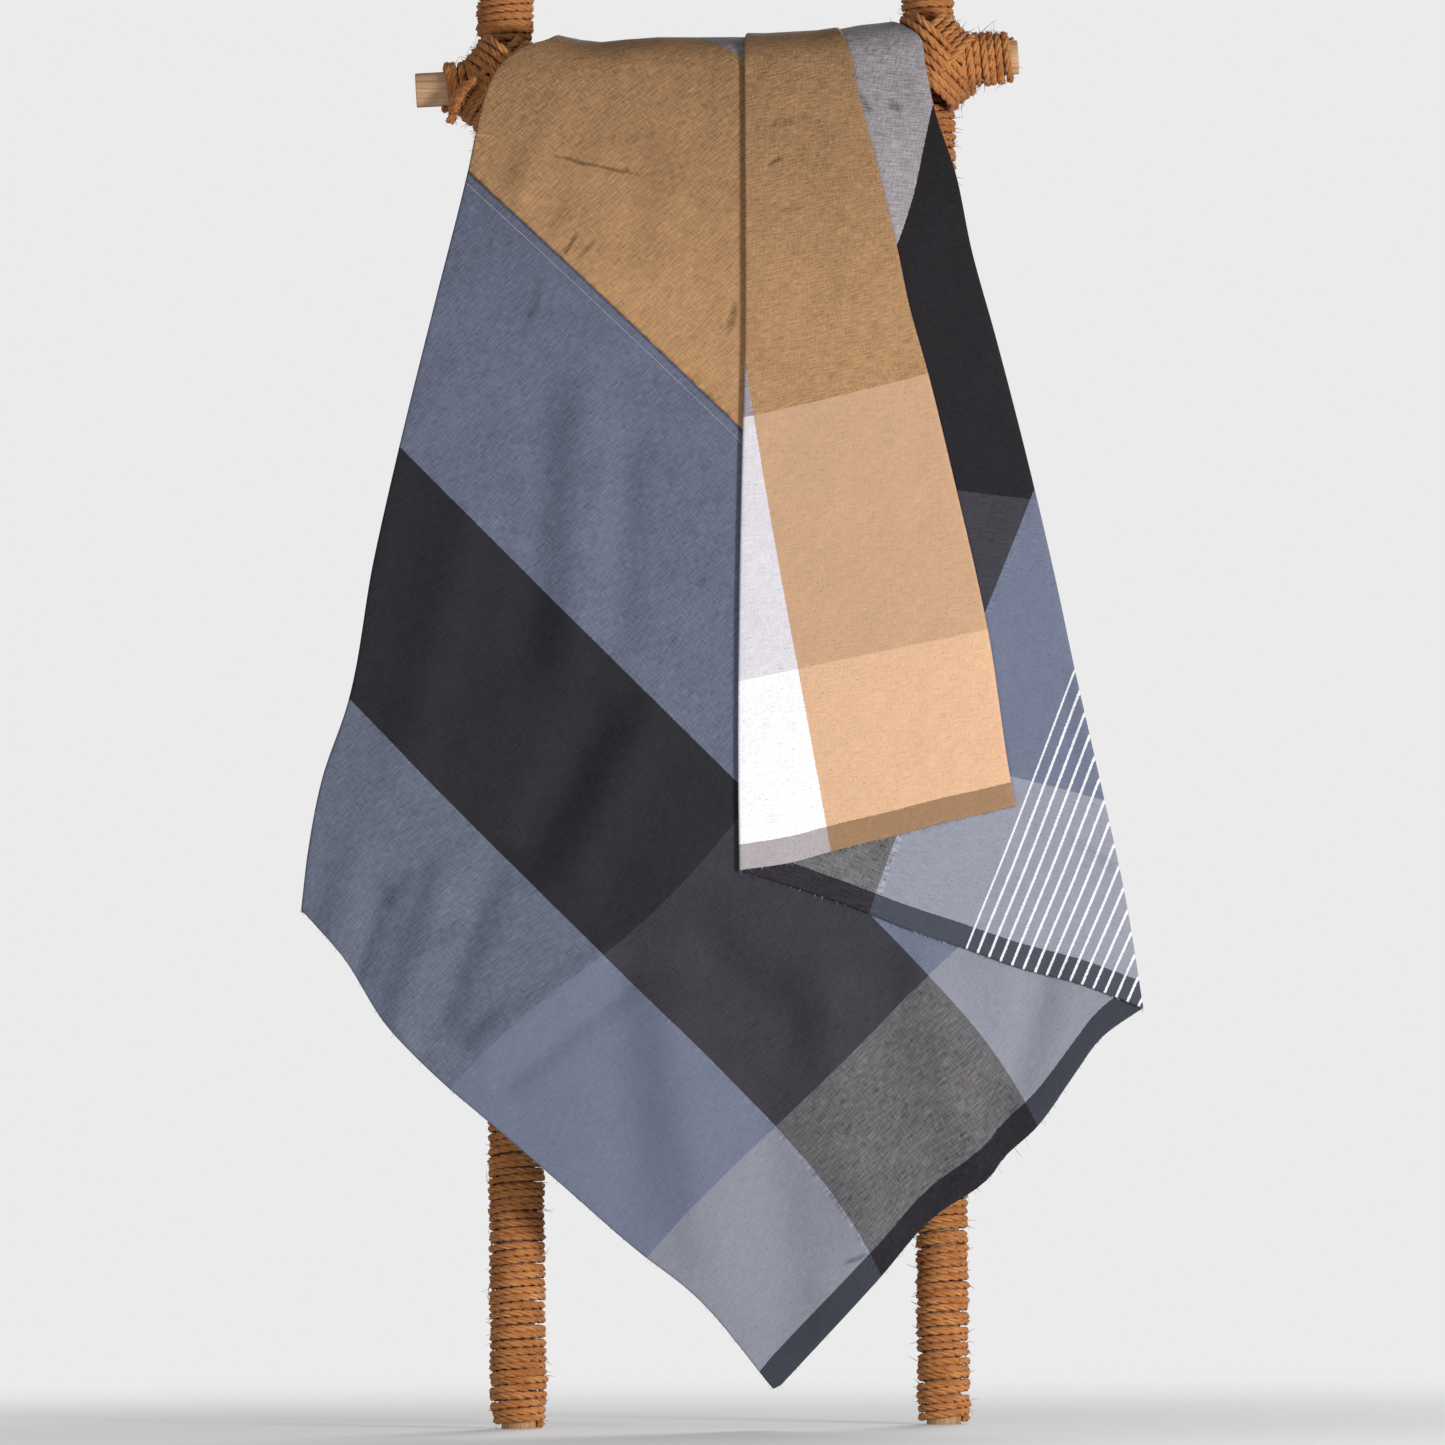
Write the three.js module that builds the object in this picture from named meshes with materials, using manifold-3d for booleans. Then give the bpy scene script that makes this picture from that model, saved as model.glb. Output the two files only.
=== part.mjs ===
// A quilt folded over the top rung of a rope-wrapped lean-to ladder rack.
// Millimetres, +Z up, X across the rack, the rack's front faces -Y.
// The ladder is built upright in its own plane and then leaned back about its feet.
import * as THREE from 'three';
import { mergeVertices } from 'three/addons/utils/BufferGeometryUtils.js';
import Module from 'manifold-3d';

const manifold = await Module();
manifold.setup();

// ---- driving dimensions -------------------------------------------------
const LEAN = THREE.MathUtils.degToRad(6);      // the ladder leans back this far
const POLE_RADIUS = 18;                        // turned softwood poles, 36 mm across
const POLE_SIDES = 24;
const ROPE = 11;                               // coir rope, laid side by side round the poles
const FIT = 0.4;                               // clearance between touching pieces
const RUNG_SWELL = 0.5;                        // a rung's wrapping stands a little prouder
const RUNG_CLEAR = 0.5;                        // between a rung's wrapping and an upright's
const UPRIGHT_X = 222;                         // each upright's axis from the middle
const UPRIGHT_LENGTH = 1570;                   // along the upright
const WRAP_END = 8;                            // bare wood at an upright's top
const FOOT_STEP = 2;                           // the pole stands this much below its wrapping
const SLEEVE_RADIUS = POLE_RADIUS + ROPE;      // outside of a wrapped upright
const RUNG_SLEEVE_RADIUS = SLEEVE_RADIUS + RUNG_SWELL;
const RUNG_Y = -(SLEEVE_RADIUS + RUNG_SLEEVE_RADIUS + RUNG_CLEAR); // rungs in front of the uprights
const RUNG_HALF = 316;                         // half a rung's length
const RUNG_BARE = 25;                          // bare end of a rung, at the left
const RUNG_PROUD = 3;                          // the pole shows this much at the right
const RUNGS = [                                // heights along the ladder, and each one's tilt
  { name: 'top', along: 1416, tilt: THREE.MathUtils.degToRad(2.6) },
  { name: 'middle', along: 966, tilt: 0 },
  { name: 'lower', along: 513, tilt: 0 },
];
const LASHING_CORNER = 20;                     // its turns bend this tightly round the poles
const LASHING_WIDTH = 38;                      // about three and a half turns of rope
const LASHING_SLACK = 5;                       // room beside a tilted rung
const LASHING_CLEAR = 0.7;                     // first band off the wrapped poles
const LASHING_RIDE = 0.2;                      // second band off the first's outside
const CORNER_SEGMENTS = 4;

const QUILT_LENGTH = 1524;                     // the cloth's own size, before it is folded
const QUILT_WIDTH = 1270;
const SEAM = 687;                              // felled seam between the two face panels
const PLY = 0.5;                               // face and backing cloth
const WADDING = 1.0;
const PLY_GAP = 0.3;
const FOLD_RADIUS = 3.6;                       // layers lie two radii apart
const FRONT_STAND = 55.5;                      // innermost layer in front of the rung's axis
const SADDLE_CLEAR = 3.5;                      // innermost layer above the rung's wrapping
const SADDLE_RADIUS = RUNG_SLEEVE_RADIUS + SADDLE_CLEAR;
const GATHER = 0.66;                           // the saddle bunches up between the uprights
const GATHER_START = 170;                      // below the rung, where the bunching begins

// ---- materials ----------------------------------------------------------
const wood = () => new THREE.MeshStandardMaterial({ color: 0xb89878, roughness: 0.7 });
const rope = () => new THREE.MeshStandardMaterial({ color: 0xb07535, roughness: 0.95 });
const cloth = (color) => new THREE.MeshStandardMaterial({ color, roughness: 0.85 });

const ladder = new THREE.Group();
ladder.rotation.x = -LEAN;

function add(name, geometry, material, place) {
  const mesh = new THREE.Mesh(geometry, material);
  mesh.name = name;
  if (place) place(mesh);
  ladder.add(mesh);
  return mesh;
}

// ---- solids by joining and cutting ---------------------------------------
const WELD = 1e-4;                             // corners this near each other are one corner

function toManifold(geometry) {
  const bare = geometry.clone();
  bare.deleteAttribute('normal');
  bare.deleteAttribute('uv');
  const merged = mergeVertices(bare, WELD);
  return new manifold.Manifold(new manifold.Mesh({
    numProp: 3,
    vertProperties: new Float32Array(merged.attributes.position.array),
    triVerts: new Uint32Array(merged.index.array),
  }));
}

function fromManifold(solid) {
  const { vertProperties, triVerts } = solid.getMesh();
  const geometry = new THREE.BufferGeometry();
  geometry.setAttribute('position', new THREE.BufferAttribute(vertProperties, 3));
  geometry.setIndex(new THREE.BufferAttribute(triVerts, 1));
  return geometry;
}

// ---- poles and their rope wrapping ----------------------------------------
// A pole or sleeve along +Z from its own origin.
function poleGeometry(radius, length) {
  const geometry = new THREE.CylinderGeometry(radius, radius, length, POLE_SIDES);
  return geometry.rotateX(Math.PI / 2).translate(0, 0, length / 2);
}

function sleeveGeometry(inner, outer, length) {
  const wall = [[inner, 0], [outer, 0], [outer, length], [inner, length], [inner, 0]];
  const profile = wall.map(([r, y]) => new THREE.Vector2(r, y));
  return new THREE.LatheGeometry(profile, POLE_SIDES).rotateX(Math.PI / 2);
}

// The uprights' lower ends are cut to lie flat on the floor once the ladder leans.
function cutFoot(geometry, lift) {
  const position = geometry.attributes.position;
  for (let i = 0; i < position.count; i += 1) {
    if (position.getZ(i) < UPRIGHT_LENGTH / 2) {
      position.setZ(i, lift / Math.cos(LEAN) + position.getY(i) * Math.tan(LEAN));
    }
  }
  return geometry;
}

for (const [side, sign] of [['left', -1], ['right', 1]]) {
  const stand = (mesh) => mesh.position.set(sign * UPRIGHT_X, 0, 0);
  add(`${side}_upright_pole`, cutFoot(poleGeometry(POLE_RADIUS, UPRIGHT_LENGTH), 0), wood(), stand);
  const sleeve = sleeveGeometry(POLE_RADIUS + FIT, SLEEVE_RADIUS, UPRIGHT_LENGTH - WRAP_END);
  add(`${side}_upright_rope_wrap`, cutFoot(sleeve, FOOT_STEP), rope(), stand);
}

for (const { name, along, tilt } of RUNGS) {
  const lie = (start) => (mesh) => {
    mesh.rotation.set(0, Math.PI / 2 - tilt, 0);
    mesh.position.set(start * Math.cos(tilt), RUNG_Y, along + start * Math.sin(tilt));
  };
  add(`${name}_rung_pole`, poleGeometry(POLE_RADIUS, 2 * RUNG_HALF), wood(), lie(-RUNG_HALF));
  const wrapped = 2 * RUNG_HALF - RUNG_BARE - RUNG_PROUD;
  const sleeve = sleeveGeometry(POLE_RADIUS + FIT, RUNG_SLEEVE_RADIUS, wrapped);
  add(`${name}_rung_rope_wrap`, sleeve, rope(), lie(-RUNG_HALF + RUNG_BARE));
}

// ---- lashings ---------------------------------------------------------------
// Two crossed bands of rope turns tie each rung to each upright, the second over the first.
function bandGeometry(clear, turn) {
  const reach = RUNG_SLEEVE_RADIUS * Math.SQRT2 + LASHING_WIDTH / 2 + LASHING_SLACK;
  const outline = (grow) => {
    const half = reach + grow;
    const near = RUNG_Y - RUNG_SLEEVE_RADIUS - clear - grow;
    const far = SLEEVE_RADIUS + clear + grow;
    const corner = LASHING_CORNER + grow;
    const shape = new THREE.Shape();
    shape.moveTo(half, near + corner);
    shape.lineTo(half, far - corner);
    shape.absarc(half - corner, far - corner, corner, 0, Math.PI / 2, false);
    shape.lineTo(corner - half, far);
    shape.absarc(corner - half, far - corner, corner, Math.PI / 2, Math.PI, false);
    shape.lineTo(-half, near + corner);
    shape.absarc(corner - half, near + corner, corner, Math.PI, Math.PI * 1.5, false);
    shape.lineTo(half - corner, near);
    shape.absarc(half - corner, near + corner, corner, Math.PI * 1.5, Math.PI * 2, false);
    return shape;
  };
  const band = outline(ROPE);
  band.holes.push(outline(0));
  const geometry = new THREE.ExtrudeGeometry(band, {
    depth: LASHING_WIDTH, bevelEnabled: false, curveSegments: CORNER_SEGMENTS,
  });
  return geometry.translate(0, 0, -LASHING_WIDTH / 2).rotateY(turn);
}

const DIAGONAL = Math.PI / 4;
const firstBand = toManifold(bandGeometry(LASHING_CLEAR, DIAGONAL));
const secondBand = toManifold(bandGeometry(ROPE + LASHING_RIDE, -DIAGONAL));
const lashingGeometry = fromManifold(firstBand.add(secondBand));

for (const { name, along, tilt } of RUNGS) {
  for (const [side, sign] of [['left', -1], ['right', 1]]) {
    add(`${name}_${side}_lashing`, lashingGeometry.clone(), rope(), (mesh) => {
      mesh.position.set(sign * UPRIGHT_X, 0, along + sign * UPRIGHT_X * Math.tan(tilt));
    });
  }
}

// ---- the quilt -----------------------------------------------------------------
// The quilt is folded into four layers before it goes over the rung: a flap next to the rack,
// a broad layer, a narrower one and the outermost. Each crease and edge runs from the front
// hem, over the rung, to the back hem. A crease is [x, height] at its front end, x at the rung,
// and [x, depth below the rung] at its back end. cut is where the ends lie on the flat cloth.
const CREASES = {
  flapHem: { front: [320, 815], rung: 125, back: [-45, 560], cut: [[0, 1524], [1270, 1524]] },
  leftFold: { front: [-442, 544], rung: -230, back: [-100, 545], cut: [[0, 703], [1270, 1472]] },
  corner: { front: [45, 39], rung: 25, back: [5, 465], cut: [[0, 0], [1270, 1300]] },
  rightFold: { front: [433, 432], rung: 215, back: [100, 390], cut: [[552, 0], [1270, 1150]] },
  innerFold: { front: [15, 581], rung: 28, back: [40, 330], cut: [[977, 0], [1262, 1090]] },
  sideEdge: { front: [300, 646], rung: 138, back: [95, 235], cut: [[1270, 0], [1270, 990]] },
};
const topRung = RUNGS[0];

function mixCrease(a, b, share) {
  const mix = (p, q) => p + (q - p) * share;
  const pair = (p, q) => [mix(p[0], q[0]), mix(p[1], q[1])];
  return {
    front: pair(a.front, b.front), rung: mix(a.rung, b.rung), back: pair(a.back, b.back),
    cut: [pair(a.cut[0], b.cut[0]), pair(a.cut[1], b.cut[1])],
  };
}

// Ribs across one layer, at a layer height counted in fold diameters from the rack.
function layerRibs(from, to, level, count) {
  const ribs = [];
  for (let i = 1; i < count; i += 1) {
    ribs.push({ ...mixCrease(from, to, i / count), level, inset: 0 });
  }
  return ribs;
}

// A fold's ribs turn through half a circle from one layer to the next; inward is the side
// of the crease, -1 or 1 in x, that both layers lie on.
function foldRibs(crease, level, inward) {
  const steps = [-2, -1, 0, 1, 2];
  return steps.map((step) => {
    const angle = (step * Math.PI) / 4;
    const inset = inward * FOLD_RADIUS * (1 - Math.cos(angle));
    return { ...crease, level: level + Math.sin(angle) / 2, inset };
  });
}

const { flapHem, leftFold, corner, rightFold, innerFold, sideEdge } = CREASES;
const ribs = [
  { ...flapHem, level: 0, inset: 0 },
  ...layerRibs(flapHem, leftFold, 0, 2),
  ...foldRibs(leftFold, 0.5, 1),
  ...layerRibs(leftFold, corner, 1, 2),
  { ...corner, level: 1, inset: 0 },
  ...layerRibs(corner, rightFold, 1, 2),
  ...foldRibs(rightFold, 1.5, -1),
  ...layerRibs(rightFold, innerFold, 2, 2),
  ...foldRibs(innerFold, 2.5, 1),
  ...layerRibs(innerFold, sideEdge, 3, 2),
  { ...sideEdge, level: 3, inset: 0 },
];

// Stations along a rib: fractions of the front drop, then of the bunched stretch just under
// the rung, then angles round it, then fractions of the back drop.
const FRONT_STEPS = 2;
const BUNCH_STEPS = 3;
const ROUND_STEPS = 8;
const BACK_STEPS = 2;

function ribPoints(rib) {
  const outward = rib.level * 2 * FOLD_RADIUS;
  const y = RUNG_Y - FRONT_STAND - outward;
  const rungHeight = (x) => topRung.along + x * Math.tan(topRung.tilt);
  const frontHeight = (rib.front[1] + y * Math.sin(LEAN)) / Math.cos(LEAN);
  const gatheredX = (rib.rung + rib.inset) * GATHER;
  const bunchHeight = rungHeight(rib.rung) - GATHER_START;
  const whole = rungHeight(rib.rung) - frontHeight;
  const bunchShare = (bunchHeight - frontHeight) / whole;
  const bunchX = rib.front[0] + (rib.rung - rib.front[0]) * bunchShare;
  const points = [];
  for (let i = 0; i < FRONT_STEPS; i += 1) {
    const share = i / FRONT_STEPS;
    const x = rib.front[0] + (bunchX - rib.front[0]) * share + rib.inset;
    points.push(new THREE.Vector3(x, y, frontHeight + (bunchHeight - frontHeight) * share));
  }
  for (let i = 0; i < BUNCH_STEPS; i += 1) {
    const share = i / BUNCH_STEPS;
    const x = THREE.MathUtils.lerp(bunchX + rib.inset, gatheredX, share);
    points.push(new THREE.Vector3(x, y, bunchHeight + (rungHeight(x) - bunchHeight) * share));
  }
  const last = Math.PI - LEAN;
  for (let i = 0; i <= ROUND_STEPS; i += 1) {
    const angle = (last * i) / ROUND_STEPS;
    const reach = (angle < Math.PI / 2 ? FRONT_STAND : SADDLE_RADIUS) + outward;
    points.push(new THREE.Vector3(
      gatheredX,
      RUNG_Y - reach * Math.cos(angle),
      rungHeight(gatheredX) + (SADDLE_RADIUS + outward) * Math.sin(angle),
    ));
  }
  const top = points[points.length - 1];
  for (let i = 1; i <= BACK_STEPS; i += 1) {
    const share = i / BACK_STEPS;
    const depth = rib.back[1] * share;
    points.push(new THREE.Vector3(
      THREE.MathUtils.lerp(gatheredX, rib.back[0] + rib.inset, share),
      top.y + depth * Math.sin(LEAN),
      top.z - depth * Math.cos(LEAN),
    ));
  }
  return points;
}

const sheet = ribs.map(ribPoints);
const STATIONS = sheet[0].length;

// Where a station lies on the flat cloth, across it from the hem corner.
function acrossCloth(i, j) {
  const [[s0], [s1]] = ribs[i].cut;
  let run = 0;
  let total = 0;
  for (let k = 1; k < STATIONS; k += 1) {
    const step = sheet[i][k].distanceTo(sheet[i][k - 1]);
    total += step;
    if (k <= j) run += step;
  }
  return s0 + (s1 - s0) * (run / total);
}

function sheetNormal(i, j) {
  const before = sheet[Math.max(i - 1, 0)][j];
  const after = sheet[Math.min(i + 1, sheet.length - 1)][j];
  const below = sheet[i][Math.max(j - 1, 0)];
  const above = sheet[i][Math.min(j + 1, STATIONS - 1)];
  const across = after.clone().sub(before);
  return across.cross(above.clone().sub(below)).normalize();
}

const nodes = sheet.map((rib, i) => rib.map((point, j) => ({
  point, normal: sheetNormal(i, j), across: acrossCloth(i, j),
})));

function cutTriangle(triangle, keepAbove, at) {
  const kept = [];
  const inside = (node) => (node.across >= at) === keepAbove;
  for (let i = 0; i < 3; i += 1) {
    const a = triangle[i];
    const b = triangle[(i + 1) % 3];
    if (inside(a)) kept.push(a);
    if (inside(a) !== inside(b)) {
      const share = (at - a.across) / (b.across - a.across);
      kept.push({
        point: a.point.clone().lerp(b.point, share),
        normal: a.normal.clone().lerp(b.normal, share).normalize(),
        across: at,
      });
    }
  }
  return kept;
}

const WELD_STEPS = 1000;                       // to the millimetre, when ply corners are matched

// One ply of the quilt: the folded sheet between two offsets of its middle, kept on one
// side of the seam where the ply is made of two panels.
function plyGeometry(low, high, panel) {
  const polygons = [];
  for (let i = 0; i + 1 < nodes.length; i += 1) {
    for (let j = 0; j + 1 < STATIONS; j += 1) {
      const [a, b] = [nodes[i][j], nodes[i + 1][j]];
      const [c, d] = [nodes[i + 1][j + 1], nodes[i][j + 1]];
      polygons.push([a, b, c], [a, c, d]);
    }
  }
  const kept = panel
    ? polygons.map((p) => cutTriangle(p, panel.keepAbove, panel.at)).filter((p) => p.length > 2)
    : polygons;
  const corners = [];
  const keys = new Map();
  const index = (node) => {
    const key = node.point.toArray().map((v) => Math.round(v * WELD_STEPS)).join();
    if (!keys.has(key)) {
      keys.set(key, keys.size);
      corners.push(node);
    }
    return keys.get(key);
  };
  const triangles = [];
  for (const polygon of kept) {
    const ids = polygon.map(index);
    for (let k = 1; k + 1 < ids.length; k += 1) {
      const triangle = [ids[0], ids[k], ids[k + 1]];
      if (new Set(triangle).size === 3) triangles.push(triangle);
    }
  }
  const edges = new Map();
  for (const triangle of triangles) {
    triangle.forEach((a, k) => {
      const b = triangle[(k + 1) % 3];
      if (!edges.delete(`${b},${a}`)) edges.set(`${a},${b}`, [a, b]);
    });
  }
  const count = corners.length;
  const positions = [low, high].flatMap((offset) => corners.flatMap(
    ({ point, normal }) => point.clone().addScaledVector(normal, offset).toArray(),
  ));
  const faces = [];
  for (const [a, b, c] of triangles) {
    faces.push(a, c, b, a + count, b + count, c + count);
  }
  for (const [a, b] of edges.values()) {
    faces.push(a, b, b + count, a, b + count, a + count);
  }
  const geometry = new THREE.BufferGeometry();
  geometry.setAttribute('position', new THREE.Float32BufferAttribute(positions, 3));
  geometry.setIndex(faces);
  return geometry;
}

// The sheet's normal points away from the rack on the broad layer, so the face is outside.
const core = WADDING / 2;
const skin = core + PLY_GAP;
const below = { keepAbove: false, at: SEAM - PLY_GAP };
const above = { keepAbove: true, at: SEAM + PLY_GAP };
add('quilt_face_panel_blue_black', plyGeometry(skin, skin + PLY, below), cloth(0x606a80));
add('quilt_face_panel_beige_white', plyGeometry(skin, skin + PLY, above), cloth(0xa98957));
add('quilt_wadding', plyGeometry(-core, core), cloth(0xd8d4cc));
add('quilt_backing', plyGeometry(-skin - PLY, -skin), cloth(0x45474f));

// ---- the whole rack, standing on the floor at its feet ----------------------------
const part = new THREE.Group();
part.add(ladder);
ladder.updateMatrixWorld(true);
const box = new THREE.Box3().setFromObject(part, true);
const middle = box.getCenter(new THREE.Vector3());
ladder.position.set(-middle.x, -middle.y, -box.min.z);

export default part;
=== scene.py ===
import math

import bmesh
import bpy
import numpy as np
from mathutils import Matrix, Vector, noise


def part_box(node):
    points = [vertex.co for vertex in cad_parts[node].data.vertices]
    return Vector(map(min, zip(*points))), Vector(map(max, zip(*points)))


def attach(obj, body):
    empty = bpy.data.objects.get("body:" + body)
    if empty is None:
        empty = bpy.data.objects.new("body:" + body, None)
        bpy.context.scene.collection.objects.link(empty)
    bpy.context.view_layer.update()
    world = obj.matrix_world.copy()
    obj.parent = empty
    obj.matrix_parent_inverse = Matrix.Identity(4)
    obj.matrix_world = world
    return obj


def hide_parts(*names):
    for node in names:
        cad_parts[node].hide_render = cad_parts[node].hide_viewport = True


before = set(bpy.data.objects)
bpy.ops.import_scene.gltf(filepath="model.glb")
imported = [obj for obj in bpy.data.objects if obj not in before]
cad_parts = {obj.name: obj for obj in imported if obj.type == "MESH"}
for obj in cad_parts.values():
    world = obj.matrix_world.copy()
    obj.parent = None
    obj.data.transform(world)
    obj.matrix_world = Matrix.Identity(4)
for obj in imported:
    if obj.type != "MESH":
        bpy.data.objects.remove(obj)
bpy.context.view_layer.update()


# ---- The room ------------------------------------------------------------------------
# A plain pale studio: a matt floor that fades out into an even pale surround, a soft light low
# on the right, a broader and weaker one on the left and another behind the rack.

class Tone:
    """A value inside a finish. Arithmetic on it adds the finish's own maths."""

    def __init__(self, finish, socket):
        self.finish = finish
        self.socket = socket

    def work(self, operation, first, second=0.0, clamp=False):
        settings = {"operation": operation, "use_clamp": clamp}
        return self.finish.add("Math", settings, {0: first, 1: second})

    def __add__(self, other):
        return self.work("ADD", self, other)

    def __radd__(self, other):
        return self.work("ADD", other, self)

    def __sub__(self, other):
        return self.work("SUBTRACT", self, other)

    def __rsub__(self, other):
        return self.work("SUBTRACT", other, self)

    def __mul__(self, other):
        return self.work("MULTIPLY", self, other)

    def __rmul__(self, other):
        return self.work("MULTIPLY", other, self)

    def __truediv__(self, other):
        return self.work("DIVIDE", self, other)

    def __gt__(self, other):
        return self.work("GREATER_THAN", self, other)

    def __lt__(self, other):
        return self.work("LESS_THAN", self, other)


class Finish:
    """A material, built up node by node."""

    def __init__(self, name):
        self.material = bpy.data.materials.new(name)
        self.material.use_nodes = True
        self.tree = self.material.node_tree
        self.tree.nodes.clear()

    def add(self, kind, settings=None, values=None, stops=None, output=0):
        node = self.tree.nodes.new("ShaderNode" + kind)
        for key, value in (settings or {}).items():
            setattr(node, key, value)
        if stops:
            ramp = node.color_ramp
            while len(ramp.elements) < len(stops):
                ramp.elements.new(1.0)
            for element, (place, colour) in zip(ramp.elements, stops):
                element.position = place
                element.color = colour
        for key, value in (values or {}).items():
            if isinstance(value, Tone):
                self.tree.links.new(value.socket, node.inputs[key])
            else:
                node.inputs[key].default_value = value
        return Tone(self, node.outputs[output])

    def blend(self, share, low, high, how="MIX"):
        settings = {"data_type": "RGBA", "blend_type": how}
        return self.add("Mix", settings, {0: share, 6: low, 7: high}, output=2)

    def soft_step(self, value, start, end, low=0.0, high=1.0):
        """A soft step from low to high, as a value goes from start to end."""
        settings = {"interpolation_type": "SMOOTHSTEP"}
        return self.add("MapRange", settings, {0: value, 1: start, 2: end, 3: low, 4: high})

    def surface(self, values):
        shader = self.add("BsdfPrincipled", None, values)
        node = self.tree.nodes.new("ShaderNodeOutputMaterial")
        self.tree.links.new(shader.socket, node.inputs["Surface"])
        return self.material


def dye(code):
    """A colour written as red, green and blue in hexadecimal, ready for a shader."""
    levels = [int(code[i:i + 2], 16) / 255 for i in (0, 2, 4)]
    linear = [v / 12.92 if v <= 0.04045 else ((v + 0.055) / 1.055) ** 2.4 for v in levels]
    return (*linear, 1.0)


def place_object(name, data):
    piece = bpy.data.objects.new(name, data)
    bpy.context.scene.collection.objects.link(piece)
    return piece


def hand_over(piece, body, node=None):
    """The body a piece moves with, and the solid it stands in for, which is hidden."""
    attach(piece, body)
    if node:
        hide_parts(node)


SURROUND = dye("EBEBEB")
FLOOR_RADIUS = 2.4

room = bmesh.new()
bmesh.ops.create_circle(room, cap_ends=True, segments=96, radius=FLOOR_RADIUS)
floor_mesh = bpy.data.meshes.new("studio_floor")
room.to_mesh(floor_mesh)
room.free()
floor = place_object("studio_floor", floor_mesh)

floor_finish = Finish("pale_floor")
floor_place = floor_finish.add("TexCoord", output=3)
floor_reach = floor_finish.add("VectorMath", {"operation": "LENGTH"}, {0: floor_place}, output=1)
floor_fade = floor_finish.soft_step(floor_reach, 0.35, FLOOR_RADIUS * 0.95, 1.0, 0.0)
floor_matt = floor_finish.add("BsdfPrincipled", None, {"Base Color": dye("EDEDED"), "Roughness": 0.9})
floor_clear = floor_finish.add("BsdfTransparent")
floor_mix = floor_finish.add("MixShader", None, {0: floor_fade * 0.85, 1: floor_clear, 2: floor_matt})
floor_end = floor_finish.tree.nodes.new("ShaderNodeOutputMaterial")
floor_finish.tree.links.new(floor_mix.socket, floor_end.inputs["Surface"])
floor_mesh.materials.append(floor_finish.material)

scene = bpy.context.scene
scene.view_settings.view_transform = "Standard"
scene.view_settings.look = "None"
world = bpy.data.worlds.new("studio")
scene.world = world
world.use_nodes = True
sky = world.node_tree
sky.nodes.clear()
seen = sky.nodes.new("ShaderNodeLightPath")
plain = sky.nodes.new("ShaderNodeBackground")
plain.inputs[0].default_value = SURROUND
plain.inputs[1].default_value = 1.0
lit = sky.nodes.new("ShaderNodeBackground")
lit.inputs[0].default_value = (0.97, 0.98, 1.0, 1.0)
lit.inputs[1].default_value = 0.25
either = sky.nodes.new("ShaderNodeMixShader")
sky.links.new(seen.outputs["Is Camera Ray"], either.inputs[0])
sky.links.new(lit.outputs[0], either.inputs[1])
sky.links.new(plain.outputs[0], either.inputs[2])
sky_end = sky.nodes.new("ShaderNodeOutputWorld")
sky.links.new(either.outputs[0], sky_end.inputs["Surface"])

MIDDLE = Vector((0.0, 0.0, 0.8))


def soft_light(name, place, size, watts, colour):
    lamp = bpy.data.lights.new(name, "AREA")
    lamp.shape = "DISK"
    lamp.size = size
    lamp.energy = watts
    lamp.color = colour
    lamp_object = place_object(name, lamp)
    lamp_object.location = place
    lamp_object.rotation_euler = (MIDDLE - Vector(place)).to_track_quat("-Z", "Y").to_euler()


soft_light("key_light", (2.7, -3.3, 0.7), 1.0, 145.0, (1.0, 0.985, 0.96))
soft_light("fill_light", (-2.2, -4.4, 0.8), 2.6, 44.0, (0.97, 0.98, 1.0))
soft_light("back_light", (1.2, 3.6, 2.6), 2.0, 90.0, (1.0, 1.0, 1.0))

VIEW_DISTANCE = 28.0
VIEW_WIDTH = 1.5057                 # how wide the view is at the quilt
VIEW_PLANE = -0.1                   # where the quilt hangs, front to back
VIEW_TILT = math.radians(0.605)     # the camera isn't quite upright
SENSOR = 36.0

lens = bpy.data.cameras.new("camera")
lens.sensor_width = SENSOR
lens.lens = SENSOR * VIEW_DISTANCE / VIEW_WIDTH
lens.clip_end = 60.0
camera = place_object("camera", lens)
camera.location = (0.003, VIEW_PLANE - VIEW_DISTANCE, 0.735)
camera.rotation_euler = (math.pi / 2, VIEW_TILT, 0.0)
scene.camera = camera


# ---- Poles ---------------------------------------------------------------------------
# Five turned softwood poles of one size: two uprights that lean back, cut flat where they
# stand, and three rungs lying in front of them. Their ends are lightly chamfered.

LEAN = math.radians(6)
POLE_RADIUS = 0.018
POLE_SIDES = 56
CHAMFER = 0.0014
UPRIGHT_X = 0.222
UPRIGHT_LENGTH = 1.570
FOOT_SPARE = 0.02                   # cut off level with the floor
RUNG_Y = -0.059
RUNG_HALF = 0.316
RUNGS = {"top": (1.416, math.radians(2.6)), "middle": (0.966, 0.0), "lower": (0.513, 0.0)}

# The ladder's own upright frame, leaned back about its feet and set where the frame has it.
left_foot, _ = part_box("left_upright_pole")
_, right_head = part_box("right_upright_pole")
ladder_x = (left_foot.x + right_head.x) / 2
ladder_y = left_foot.y + POLE_RADIUS / math.cos(LEAN)
LADDER = Matrix.Translation((ladder_x, ladder_y, 0.0)) @ Matrix.Rotation(-LEAN, 4, "X")


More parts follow.
